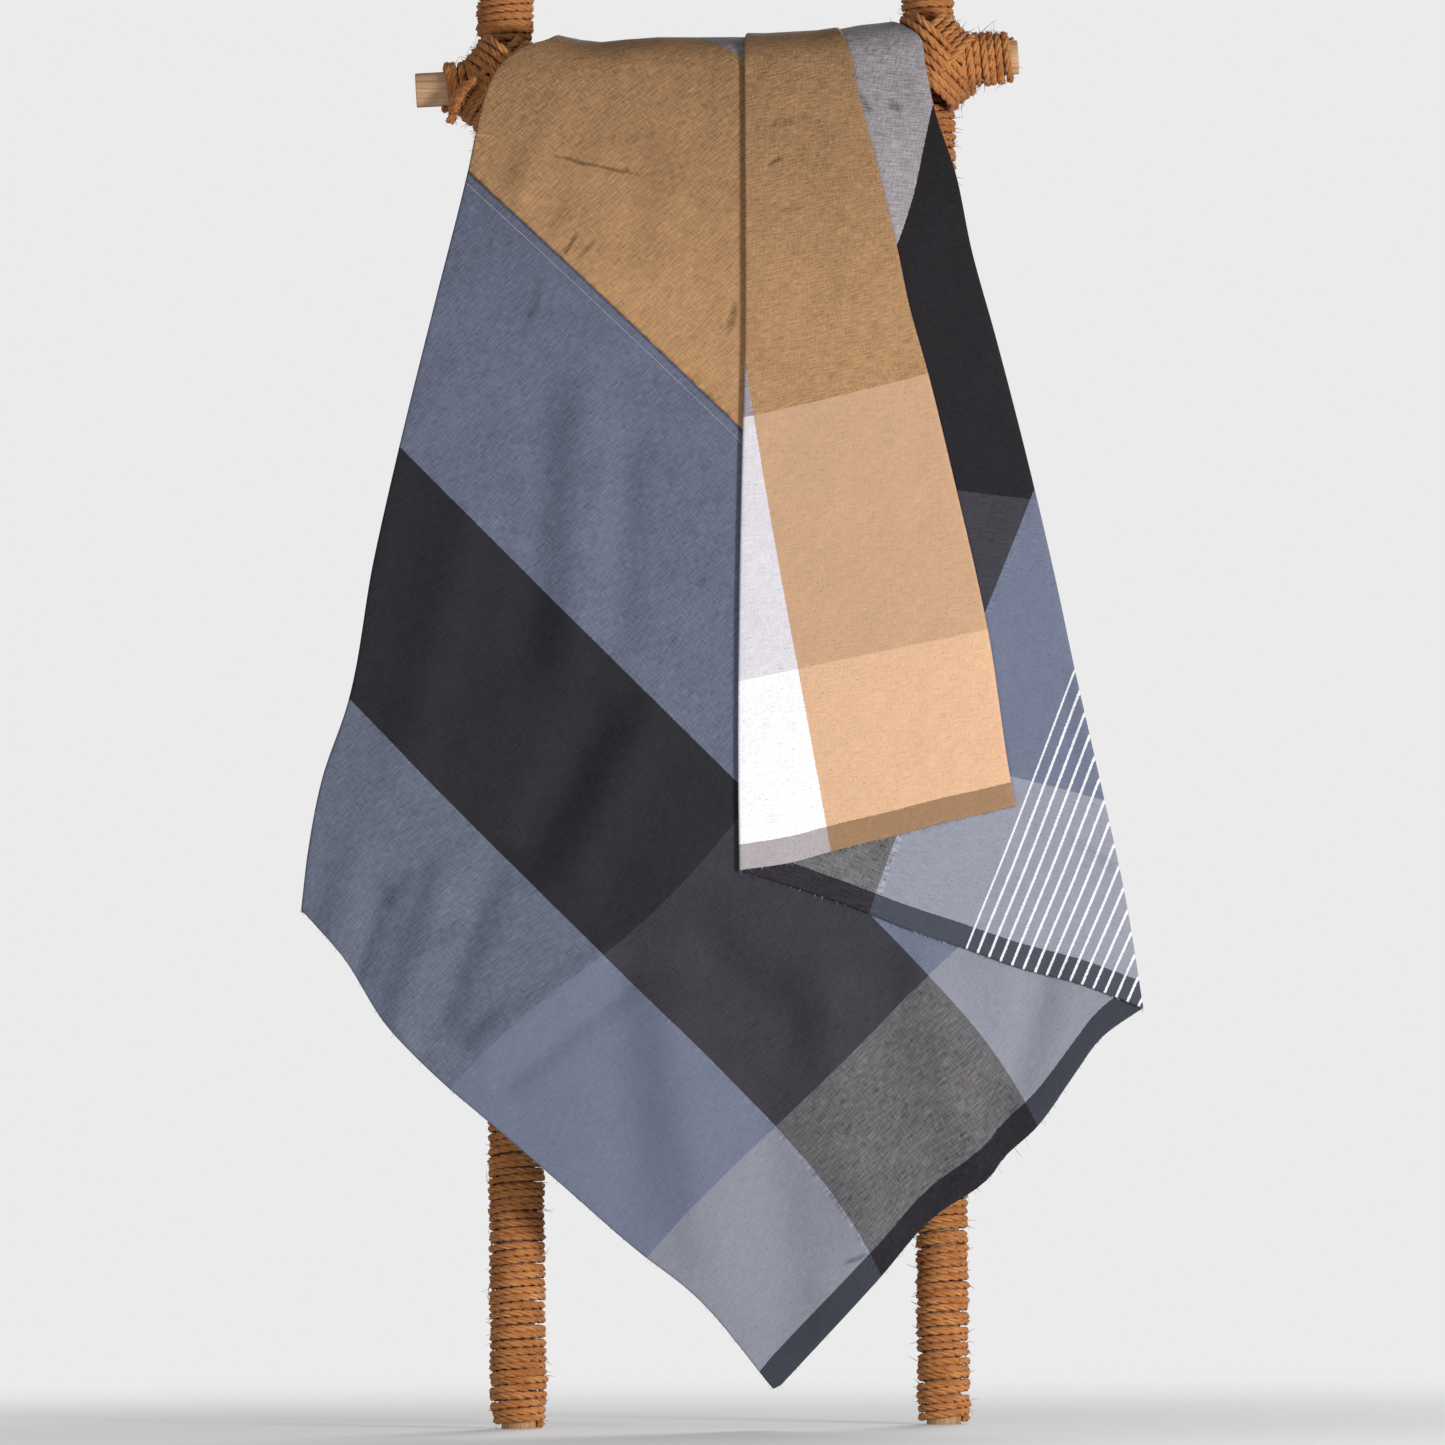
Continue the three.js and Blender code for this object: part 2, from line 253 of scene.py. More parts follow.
def wood_finish(name, along):
    """Pale softwood: long grain along the pole, soft growth bands, a few darker flecks."""
    wood = Finish(name)
    place = wood.add("TexCoord", output=3)
    stretch = [60.0, 60.0, 60.0]
    stretch["XYZ".index(along)] = 2.5
    grain_place = wood.add("Mapping", None, {0: place, 3: stretch})
    grain = wood.add("TexNoise", None, {"Vector": grain_place, "Scale": 6.0, "Detail": 6.0,
                                        "Roughness": 0.6, "Distortion": 0.4})
    fleck = wood.add("TexNoise", None, {"Vector": grain_place, "Scale": 22.0, "Detail": 3.0})
    tone = wood.add("ValToRGB", None, {0: grain}, stops=[
        (0.30, dye("A37A50")), (0.48, dye("C49A72")), (0.62, dye("D6B28A")), (0.8, dye("C1956C")),
    ])
    dark = wood.add("MapRange", None, {0: fleck, 1: 0.60, 2: 0.72, 3: 0.0, 4: 0.45})
    colour = wood.blend(dark, tone, dye("7C5A3B"))
    bump = wood.add("Bump", None, {"Strength": 0.35, "Distance": 0.0006, "Height": grain})
    return wood.surface({
        "Base Color": colour, "Roughness": 0.52 + grain * 0.3, "Normal": bump,
    })


upright_wood = wood_finish("upright_softwood", "Z")
rung_wood = wood_finish("rung_softwood", "X")


def turned_pole(length):
    pole = bmesh.new()
    bmesh.ops.create_cone(
        pole, cap_ends=True, segments=POLE_SIDES, radius1=POLE_RADIUS, radius2=POLE_RADIUS,
        depth=length, matrix=Matrix.Translation((0.0, 0.0, length / 2)),
    )
    rims = [e for e in pole.edges if abs(e.verts[0].co.z - e.verts[1].co.z) < 1e-6]
    bmesh.ops.bevel(pole, geom=rims, offset=CHAMFER, segments=3, profile=0.5,
                    affect="EDGES", material=-1)
    return pole


def finish_pole(pole, name, node, material):
    bmesh.ops.recalc_face_normals(pole, faces=pole.faces)
    for face in pole.faces:
        face.smooth = len(face.verts) == 4
    mesh = bpy.data.meshes.new(name)
    pole.to_mesh(mesh)
    pole.free()
    mesh.materials.append(material)
    hand_over(place_object(name, mesh), "rack", node)


for side, sign in (("left", -1), ("right", 1)):
    start = Matrix.Translation((sign * UPRIGHT_X, 0.0, -FOOT_SPARE))
    upright = turned_pole(UPRIGHT_LENGTH + FOOT_SPARE)
    bmesh.ops.transform(upright, matrix=LADDER @ start, verts=upright.verts)
    everything = upright.verts[:] + upright.edges[:] + upright.faces[:]
    cut = bmesh.ops.bisect_plane(upright, geom=everything, plane_co=(0, 0, 0), plane_no=(0, 0, 1),
                                 clear_inner=True)
    foot_rim = [e for e in cut["geom_cut"] if isinstance(e, bmesh.types.BMEdge)]
    bmesh.ops.holes_fill(upright, edges=foot_rim)
    finish_pole(upright, f"{side}_leaning_pole", f"{side}_upright_pole", upright_wood)


def rung_frame(name):
    """From a rung's own frame, its axis along Z from its middle, to the room."""
    along, tilt = RUNGS[name]
    return LADDER @ Matrix.Translation((0.0, RUNG_Y, along)) @ Matrix.Rotation(
        math.pi / 2 - tilt, 4, "Y")


for name in RUNGS:
    rung = turned_pole(2 * RUNG_HALF)
    start = Matrix.Translation((0.0, 0.0, -RUNG_HALF))
    bmesh.ops.transform(rung, matrix=rung_frame(name) @ start, verts=rung.verts)
    finish_pole(rung, f"{name}_round_rung", f"{name}_rung_pole", rung_wood)


# ---- Rope wrapping ---------------------------------------------------------------------
# Three-strand coir rope, wound round every pole in close turns. Each strand is a thick hairy
# yarn, so the turns show a slanting twist, dark grooves between them and loose fibres.

ROPE = 0.0078                       # one turn to the next
STRAND_RADIUS = 0.00262
STRAND_OFFSET = 0.00205             # a strand's middle from the rope's
SWELL = 0.13                        # how unevenly a strand is spun, and over what length
SWELL_PITCH = 0.02
MOST_SWELL = (0.80, 1.18)           # how thin and how thick a strand gets
FIBRE_LENGTH = (0.003, 0.011)
FIBRE_LIFT = (0.02, 0.50)           # how far it stands off, as a share of its length
FIBRE_TAPER = np.array([0.00034, 0.00030, 0.00022, 0.00010])
ROPE_LAY = 0.034                    # length of rope in which a strand goes once round it
TURN_STEPS = 26
WRAP_STAND = {"left": 0.0260, "right": 0.0238, "rung": 0.0249}    # rope's middle off the axis
WRAP_TAPER = 0.012                  # at its ends the wrapping draws in to the pole
WRAP_END = 0.008
RUNG_BARE = 0.025
RUNG_PROUD = 0.003
FOOT_SETTLE = 0.07                  # the lowest turns lie level with the floor
TURN_DRIFT = (0.0010, 0.5)          # turns stray along the pole this far, over these turns,
STAND_DRIFT = (0.0007, 0.40)        # and off it this far, over these
UPRIGHT_FIBRES = 3000
RUNG_FIBRES = 1500


def coir_finish(name, length):
    """Rust-brown coir, streaked along the strand. A strand's map runs once along it, so a
    longer strand is given a greater length, which keeps the streaks alike."""
    coir = Finish(name)
    strand_place = coir.add("UVMap", {"uv_map": "UVMap"})
    along = coir.add("Mapping", None, {0: strand_place, 2: (0.0, 0.0, 0.02),
                                       3: (length * 60.0, 9.0, 1.0)})
    fibre = coir.add("TexNoise", None, {"Vector": along, "Scale": 1.0, "Detail": 5.0,
                                        "Roughness": 0.7, "Distortion": 0.3})
    place = coir.add("TexCoord", output=3)
    patch = coir.add("TexNoise", None, {"Vector": place, "Scale": 26.0, "Detail": 3.0})
    hair = coir.add("TexNoise", None, {"Vector": place, "Scale": 900.0, "Detail": 2.0})
    tone = coir.add("ValToRGB", None, {0: fibre * 0.72 + patch * 0.18 + hair * 0.10}, stops=[
        (0.30, dye("6B3A18")), (0.42, dye("9E5F2E")), (0.52, dye("C07F48")),
        (0.62, dye("D89C60")), (0.75, dye("EFC088")),
    ])
    height = fibre * 0.8 + hair * 0.2
    bump = coir.add("Bump", None, {"Strength": 0.9, "Distance": 0.0012, "Height": height})
    return coir.surface({
        "Base Color": tone, "Roughness": 0.86, "Specular IOR Level": 0.2, "Normal": bump,
        "Sheen Weight": 0.1, "Sheen Roughness": 0.5,
    })


wrap_coir = coir_finish("wound_coir", 19.0)
short_coir = coir_finish("wound_coir_rung", 7.4)
lashing_coir = coir_finish("lashing_coir", 1.3)


def strand_curve(name, sides):
    curve = bpy.data.curves.new(name, "CURVE")
    curve.dimensions = "3D"
    curve.bevel_depth = 1.0
    curve.bevel_resolution = sides
    curve.use_fill_caps = True
    curve.twist_mode = "MINIMUM"
    return curve


def lay_spline(curve, points, radius):
    spline = curve.splines.new("POLY")
    spline.points.add(len(points) - 1)
    flat = np.ones((len(points), 4))
    flat[:, :3] = points
    spline.points.foreach_set("co", flat.ravel())
    spline.points.foreach_set("radius", np.broadcast_to(radius, len(points)).ravel())
    spline.use_smooth = True


def unit(vectors):
    return vectors / np.linalg.norm(vectors, axis=1, keepdims=True)


def run_along(points):
    """Distance along a row of points, at each of them."""
    steps = np.linalg.norm(np.diff(points, axis=0), axis=1)
    return np.concatenate([[0.0], np.cumsum(steps)])


coir_chance = np.random.default_rng(7)


def uneven(run, pitch):
    """A random value that drifts along a run, settling at a new one every pitch."""
    knots = np.arange(0.0, run[-1] + 2 * pitch, pitch)
    return np.interp(run, knots, coir_chance.normal(size=len(knots)))


def lay_rope(curve, route, outward, fibres):
    """Three strands twisted round a route; outward points off the poles all along it."""
    ahead = unit(np.gradient(route, axis=0))
    across = unit(np.cross(ahead, outward))
    rise = np.cross(across, ahead)
    run = run_along(route)
    swell = np.clip(1 + SWELL * uneven(run, SWELL_PITCH), *MOST_SWELL)
    strands = []
    for k in range(3):
        turn = 2 * math.pi * (run / ROPE_LAY + k / 3)
        off = np.cos(turn)[:, None] * rise + np.sin(turn)[:, None] * across
        strand = route + off * STRAND_OFFSET
        lay_spline(curve, strand, STRAND_RADIUS * swell)
        strands.append((strand, off))
    for _ in range(fibres):
        strand, off = strands[coir_chance.integers(3)]
        i = coir_chance.integers(1, len(route) - 2)
        if np.dot(off[i], rise[i]) < -0.1:
            continue
        root = strand[i] + off[i] * STRAND_RADIUS * 0.9
        lie = coir_chance.normal(size=3) * 0.8 + ahead[i] * coir_chance.choice([-1.0, 1.0]) * 1.3
        lie = lie / np.linalg.norm(lie)
        length = coir_chance.uniform(*FIBRE_LENGTH)
        lift = coir_chance.uniform(*FIBRE_LIFT)
        bow = coir_chance.normal(size=3) * 0.25
        share = np.linspace(0.0, 1.0, 4)[:, None]
        fibre = root + length * (share * lie + share * rise[i] * lift + share ** 2 * bow)
        lay_spline(curve, fibre, FIBRE_TAPER)


def finish_coir(curve, node, material):
    curve.materials.append(material)
    hand_over(place_object(curve.name, curve), "rack", node)


def to_room(matrix, points):
    return points @ np.array(matrix.to_3x3()).T + np.array(matrix.translation)


def wind_pole(name, node, start, end, matrix, material, fibres, stand_off, settle=False):
    """Close turns along a pole's own Z, from start to end, then into the room."""
    turns = (end - start - ROPE) / ROPE
    angle = np.arange(0.0, turns, 1 / TURN_STEPS) * 2 * math.pi
    run = angle / (2 * math.pi)
    along = start + ROPE / 2 + run * ROPE + TURN_DRIFT[0] * uneven(run, TURN_DRIFT[1])
    to_end = np.minimum(along - start, end - along) - ROPE / 2
    snug = POLE_RADIUS + STRAND_RADIUS + STRAND_OFFSET
    radius = stand_off + (snug - stand_off) * np.exp(-(to_end / WRAP_TAPER) ** 2)
    radius = radius + STAND_DRIFT[0] * uneven(run, STAND_DRIFT[1])
    if settle:
        along = along + np.sin(angle) * radius * math.tan(LEAN) * np.exp(-along / FOOT_SETTLE)
    outward = np.column_stack([np.cos(angle), np.sin(angle), np.zeros_like(angle)])
    route = outward * radius[:, None]
    route[:, 2] = along
    turned = np.array(matrix.to_3x3())
    curve = strand_curve(name, 0)
    lay_rope(curve, to_room(matrix, route), outward @ turned.T, fibres)
    finish_coir(curve, node, material)


for side, sign in (("left", -1), ("right", 1)):
    stand = LADDER @ Matrix.Translation((sign * UPRIGHT_X, 0.0, 0.0))
    wind_pole(f"{side}_upright_coir", f"{side}_upright_rope_wrap", 0.001,
              UPRIGHT_LENGTH - WRAP_END, stand, wrap_coir, UPRIGHT_FIBRES,
              WRAP_STAND[side], settle=True)
for name in RUNGS:
    wind_pole(f"{name}_rung_coir", f"{name}_rung_rope_wrap", RUNG_BARE - RUNG_HALF,
              RUNG_HALF - RUNG_PROUD, rung_frame(name), short_coir, RUNG_FIBRES,
              WRAP_STAND["rung"])


# ---- Lashings --------------------------------------------------------------------------
# The same rope ties each rung to each upright: six turns on one diagonal, then six on the
# other, riding over the first. At the top left the rope's end is left long and has frayed.

LASHING_TURNS = 6
LASHING_STEPS = 40
WRAPPED_RADIUS = 0.0297
HUG = STRAND_OFFSET + STRAND_RADIUS + 0.0003    # rope's middle off the wrapped poles
RIDE = 0.0080                       # the second diagonal lifted over the first
RIDE_REACH = 0.030
STEP_LENGTH = 0.006
LASHING_SWAY = 0.0011
LASHING_FIBRES = 420
TAIL_FIBRES = 260
TAIL_STEPS = 25


def lash(curve, centre, slope, ride):
    """Turns round a crossing in the ladder's frame; slope is 1 or -1 for its diagonal."""
    angle = np.arange(0.0, LASHING_TURNS, 1 / LASHING_STEPS) * 2 * math.pi
    shift = (angle / (2 * math.pi) - LASHING_TURNS / 2) * ROPE
    along_band = np.cos(angle)
    depth = np.sin(angle)           # -1 at the front, 1 at the back
    half = WRAPPED_RADIUS * math.sqrt(2) + HUG
    front = depth < 0
    reach = WRAPPED_RADIUS + HUG
    mound = ride * np.exp(-((along_band * half) / RIDE_REACH) ** 2)
    middle_y = np.where(front, RUNG_Y, 0.0)
    # A straight run joins the half turns at the front and the back, sheared with the shift.
    lean_shift = np.where(front, -shift, shift) * (1 - np.abs(along_band)) ** 0.5
    m = along_band * half + lean_shift
    y = middle_y + depth * (reach + mound)
    diagonal = np.array([math.sqrt(0.5), 0.0, slope * math.sqrt(0.5)])
    sideways = np.array([-slope * math.sqrt(0.5), 0.0, math.sqrt(0.5)])
    route = m[:, None] * diagonal + shift[:, None] * sideways
    route[:, 1] = y
    outward = along_band[:, None] * diagonal
    outward[:, 1] = depth
    # Fill the straight sides between the front and back half turns.
    filled = [route[:1]]
    filled_out = [outward[:1]]
    for i in range(1, len(route)):
        gap = np.linalg.norm(route[i] - route[i - 1])
        pieces = max(1, int(gap / STEP_LENGTH))
        share = (np.arange(1, pieces + 1) / pieces)[:, None]
        filled.append(route[i - 1] + (route[i] - route[i - 1]) * share)
        filled_out.append(outward[i - 1] + (outward[i] - outward[i - 1]) * share)
    route = np.concatenate(filled)
    outward = unit(np.concatenate(filled_out))
    for _ in range(3):
        route[1:-1] = 0.5 * route[1:-1] + 0.25 * (route[:-2] + route[2:])
    run = np.arange(len(route)) * STEP_LENGTH
    sway = np.column_stack([uneven(run, 0.07) for _ in range(2)]) * LASHING_SWAY
    route = route + sway[:, :1] * sideways + np.abs(sway[:, 1:]) * outward
    turned = np.array(LADDER.to_3x3())
    lay_rope(curve, to_room(LADDER, route + centre), outward @ turned.T, LASHING_FIBRES)


for name, (along, tilt) in RUNGS.items():
    for side, sign in (("left", -1), ("right", 1)):
        centre = np.array([sign * UPRIGHT_X, 0.0, along + sign * UPRIGHT_X * math.tan(tilt)])
        curve = strand_curve(f"{name}_{side}_coir_lashing", 1)
        lash(curve, centre, 1, 0.0)
        lash(curve, centre, -1, RIDE)
        if (name, side) == ("top", "left"):
            tail = centre + np.array([
                [-0.030, -0.100, 0.002], [-0.040, -0.101, -0.006], [-0.048, -0.099, -0.018],
                [-0.054, -0.096, -0.031], [-0.058, -0.093, -0.043],
            ])
            steps = np.linspace(0, len(tail) - 1, TAIL_STEPS)
            tail = np.column_stack(
                [np.interp(steps, range(len(tail)), tail[:, k]) for k in range(3)])
            tail_out = np.tile([0.0, -1.0, 0.0], (TAIL_STEPS, 1)) @ np.array(LADDER.to_3x3()).T
            lay_rope(curve, to_room(LADDER, tail), tail_out, TAIL_FIBRES)
        finish_coir(curve, f"{name}_{side}_lashing", lashing_coir)


# ---- The quilt's folded sheet ------------------------------------------------------------
# A whole-cloth throw, 1.27 m wide and 1.524 m long. It is folded into four layers before it
# goes over the top rung: a flap next to the rack, a broad layer, a narrower one that shows
# its reverse, and the outermost. Creases and edges run from the front hem to the back hem.

FRONT_STAND = 0.0555                # the flap hangs this far in front of the top rung's axis
SADDLE = 0.0312                     # and lies this far above it
FRONT_LAYER = 0.0040                # one layer to the next, hanging
SADDLE_LAYER = 0.0022               # and pressed together on the rung
SADDLE_LIFT = [                     # how far the layers ride up over the lashings' turns
    (-0.250, 0.026), (-0.184, 0.025), (-0.163, 0.0150), (-0.142, 0.0092), (-0.121, 0.0056),
    (-0.095, 0.0070), (-0.060, 0.0075), (-0.020, 0.0050), (0.020, 0.0030), (0.050, 0.0008),
    (0.105, 0.0008), (0.130, 0.0032), (0.150, 0.0060), (0.175, 0.0072), (0.200, 0.0098),
    (0.250, 0.0098),
]
RUNG_SHARE = 0.72                   # share of the rows in front of the rung
TOP_ALONG, TOP_TILT = RUNGS["top"]

# Each line: places (x, height; above the rung, the length passed over it), and at some of
# them the place on the flat cloth (across, along), all in millimetres.
CREASES = {
    "flap_hem": ([(333, 807), (300, 900), (230, 1130), (170, 1350), (140, 1421), (118, 1475),
                  (110, 1521), (60, 1700), (-52, 2020)],
                 {0: (0, 1524), 5: (690, 1524), 8: (1270, 1524)}),
    "left_fold": ([(-442, 544), (-434, 607), (-419, 680), (-392, 757), (-363, 908),
                   (-336, 1023), (-296, 1179), (-261, 1313), (-245, 1383), (-237, 1407),
                   (-227, 1424), (-206, 1444), (-177, 1460), (-165, 1487), (-158, 1515),
                   (-140, 1640), (-100, 1991)],
                  {0: (0, 703), 3: (188, 816), 5: (416, 958), 7: (687, 1113), 10: (783, 1180),
                   16: (1270, 1472)}),
    "right_fold": ([(433, 433), (416, 546), (395, 650), (377, 734), (366, 785), (349, 870),
                    (328.6, 964), (287, 1136), (263.5, 1225), (247, 1308), (226, 1374),
                    (217, 1423), (212, 1455), (195, 1478), (183, 1505), (176, 1530),
                    (150, 1640), (112, 1755)],
                   {0: (552, 0), 2: (670, 193), 4: (744, 313), 6: (844, 463),
                    10: (1073, 855), 11: (1092, 903), 17: (1270, 1175)}),
    "inner_fold": ([(15, 581), (15, 700), (18, 863), (24, 1053), (26, 1107), (28, 1250),
                    (29, 1400), (30, 1470), (35, 1524), (60, 1660)],
                   {0: (977, 0), 3: (1064, 463), 4: (1074, 520), 7: (1140, 880),
                    9: (1262, 1090)}),
    "side_edge": ([(303, 645), (299, 667), (276, 829), (242, 989), (217, 1097), (197, 1173),
                   (188, 1220), (168, 1309), (148, 1390), (139, 1440), (131, 1474),
                   (125, 1510), (105, 1605)],
                  {0: (1270, 0), 2: (1270, 193), 4: (1270, 463), 10: (1270, 860),
                   12: (1270, 1015)}),
}
HEMS = {
    "flap": [([(333, 807), (-442, 544)], {0: (0, 1524), 1: (0, 703)})],
    "broad": [([(-442, 544), (-401, 497), (-356, 425), (-300, 366), (-253, 325), (-181, 262),
                (-93, 184), (-42, 144), (46, 39)], {0: (0, 703), 8: (0, 0)}),
              ([(46, 39), (154, 153), (214, 219), (264, 252), (272, 259), (285, 277),
                (320, 309), (362, 366), (388, 401), (433, 433)],
               {0: (0, 0), 1: (188, 0), 6: (416, 0), 9: (552, 0)})],
    "narrow": [([(433, 433), (367, 459), (308, 475), (250, 496.5), (181, 521), (155, 532),
                 (74, 562), (15, 581)],
                {0: (552, 0), 3: (744, 0), 5: (844, 0), 7: (977, 0)})],
    "outer": [([(15, 581), (72, 589), (109, 599), (181, 616), (244, 632), (260, 635),
                (303, 645)], {0: (977, 0), 2: (1074, 0), 6: (1270, 0)})],
}
CORNER_SHARE = 0.56                 # where the free corner comes along the broad layer's hem
HEM_EASE = 0.10                     # share of the front drop over which the hem's ease dies out
SIDE_EASE = 1.5
NARROW_EASE = 4.0                   # the narrow layer's ease keeps closer to its inner fold
EDGE_STRIP = 0.003                  # the last strip of cloth along a cut edge
HEM_ROWS = [0.0, 0.0016, 0.0042]    # the first rows, close together at the hem
NARROW_SEAM = np.array([[185, 1226, 1073, 800], [224, 1376, 1073, 855], [233, 991, 937, 463],
                        [194, 616, 844, 95]]) / 1000     # more of the narrow layer's places
PULLS = [                           # level, place, how far the cloth shifts there, how widely
    (1, -0.060, 0.560, 0.000, 0.025, 0.20), (2, 0.186, 1.226, 0.013, 0.000, 0.10),
]
LAYERS = [
    ("flap", "flap_hem", "left_fold", 0, 24), ("broad", "left_fold", "right_fold", 1, 104),
    ("narrow", "right_fold", "inner_fold", 2, 42), ("outer", "inner_fold", "side_edge", 3, 38),
]
FRONT_ROWS = 125
BACK_ROWS = 62


def line_points(line):
    """Distance along a line, and its place and cloth place at each given point, in metres."""
    places, marks = line
    places = np.array(places, float)
    run = np.concatenate([[0.0], np.cumsum(np.hypot(*np.diff(places, axis=0).T))])
    marked = sorted(marks)
    cloth = [np.interp(run, run[marked], [marks[i][k] for i in marked]) for k in (0, 1)]
    return run / 1000, np.column_stack([places, *cloth]) / 1000


def along_line(run, values, at):
    """A smooth curve through a line's points, read at given distances."""
    slope = np.gradient(values, run, axis=0)
    i = np.clip(np.searchsorted(run, at, side="right") - 1, 0, len(run) - 2)
    step = (run[i + 1] - run[i])[:, None]
    x = ((at - run[i]) / (run[i + 1] - run[i]))[:, None]
    return ((2 * x**3 - 3 * x**2 + 1) * values[i] + (x**3 - 2 * x**2 + x) * step * slope[i]
            + (3 * x**2 - 2 * x**3) * values[i + 1] + (x**3 - x**2) * step * slope[i + 1])


def rung_height(x):
    """Height of the top rung's axis, as the hanging front layers pass it."""
    return 1.4153 + x * math.tan(TOP_TILT)


def crease_rows(name, rows):
    run, values = line_points(CREASES[name])
    crossing = np.interp(0.0, values[:, 1] - rung_height(values[:, 0]), run)
    before = rows / RUNG_SHARE * crossing
    after = crossing + (rows - RUNG_SHARE) / (1 - RUNG_SHARE) * (run[-1] - crossing)
    return along_line(run, values, np.where(rows < RUNG_SHARE, before, after))


def hem_points(name, u):
    parts = HEMS[name]
    breaks = [0.0, 1.0] if len(parts) == 1 else [0.0, CORNER_SHARE, 1.0]
    points = np.zeros((len(u), 4))
    for part, low, high in zip(parts, breaks, breaks[1:]):
        run, values = line_points(part)
        here = (u >= low) & (u <= high)
        points[here] = along_line(run, values, (u[here] - low) / (high - low) * run[-1])
    return points


front = np.linspace(0.0, RUNG_SHARE, FRONT_ROWS + 1)
back = np.linspace(RUNG_SHARE, 1.0, BACK_ROWS + 1)[1:]
rows = np.concatenate([HEM_ROWS, front[1:], back])
top_share = np.clip((rows - RUNG_SHARE * 0.93) / (RUNG_SHARE * 0.07), 0.0, 1.0)
fold_radius = 0.5 * (FRONT_LAYER + (SADDLE_LAYER - FRONT_LAYER) * top_share)

FOLD_TURN = np.radians([22.5, 45.0, 67.5, 90.0])
columns = []                        # each: place and cloth place down the rows, and its level
for layer, start, end, level, count in LAYERS:
    left, right = crease_rows(start, rows), crease_rows(end, rows)
    width = np.linalg.norm(right[:, :2] - left[:, :2], axis=1)
    spacing = []                    # each: share across the layer down the rows, and its level
    if level > 0:
        for turn in FOLD_TURN:
            inset = fold_radius * (1 - math.cos(turn)) / width
            spacing.append((inset, level - 0.5 * (1 - math.sin(turn))))
    else:
        spacing.append((np.zeros_like(rows), level))
        spacing.append((EDGE_STRIP / width, level))
    low = spacing[-1][0]
    high = 1 - (fold_radius if level < 3 else EDGE_STRIP) / width
    for k in range(1, count):
        spacing.append((low + (high - low) * k / count, level))
    if level < 3:
        for turn in FOLD_TURN[::-1]:
            inset = fold_radius * (1 - math.cos(turn)) / width
            spacing.append((1 - inset, level + 0.5 * (1 - math.sin(turn))))
        spacing.append((np.ones_like(rows), level + 0.5))
    else:
        spacing.append((high, level))
        spacing.append((np.ones_like(rows), level))
    # The weave lies evenly over the layer, and eases to meet the creases and the hem.
    hem_all = hem_points(layer, np.linspace(0.0, 1.0, 60))
    seen_rows = rows <= RUNG_SHARE * 1.02
    border = np.concatenate([left[seen_rows], hem_all] + ([right[seen_rows]] if level != 2 else []))
    if level == 2:
        border = np.concatenate([border, np.repeat(NARROW_SEAM, 40, axis=0)])
    even = np.linalg.lstsq(np.column_stack([border[:, :2], np.ones(len(border))]),
                           border[:, 2:], rcond=None)[0]

    def ease(places):
        return places[:, 2:] - np.column_stack([places[:, :2], np.ones(len(places))]) @ even

    left_ease, right_ease = ease(left), ease(right)
    near_hem = np.exp(-rows / RUNG_SHARE / HEM_EASE)[:, None]
    for share, height in spacing:
        hem = hem_points(layer, share[:1])[0]
        ends = hem_points(layer, np.array([0.0, 1.0]))
        straight = ends[0] + (ends[1] - ends[0]) * share[0]
        bow = np.clip(1 - rows / RUNG_SHARE, 0.0, 1.0)[:, None] * (hem - straight)
        cross = left + (right - left) * share[:, None] + bow
        from_left = ((1 - share) ** SIDE_EASE)[:, None]
        from_right = (share ** (SIDE_EASE if level != 2 else NARROW_EASE))[:, None]
        sides = from_left * left_ease + from_right * right_ease
        hem_ease = ease(hem[None, :])[0] - sides[0]
        flat_even = np.column_stack([cross[:, :2], np.ones(len(cross))]) @ even
        cross[:, 2:] = flat_even + sides + near_hem * hem_ease
        inside = np.clip(6 * share * (1 - share), 0.0, 1.0)
        for pulled, x, height_up, s_more, t_more, spread in PULLS:
            if pulled == level:
                off = np.hypot(cross[:, 0] - x, cross[:, 1] - height_up)
                near = inside * np.exp(-(off / spread) ** 2)
                cross[:, 2] += s_more * near
                cross[:, 3] += t_more * near
        columns.append((cross, height))

flat = np.array([c[0] for c in columns]).transpose(1, 0, 2)      # rows, columns, 4
levels = np.array([c[1] for c in columns], float)
x_flat, height_flat = flat[..., 0], flat[..., 1]

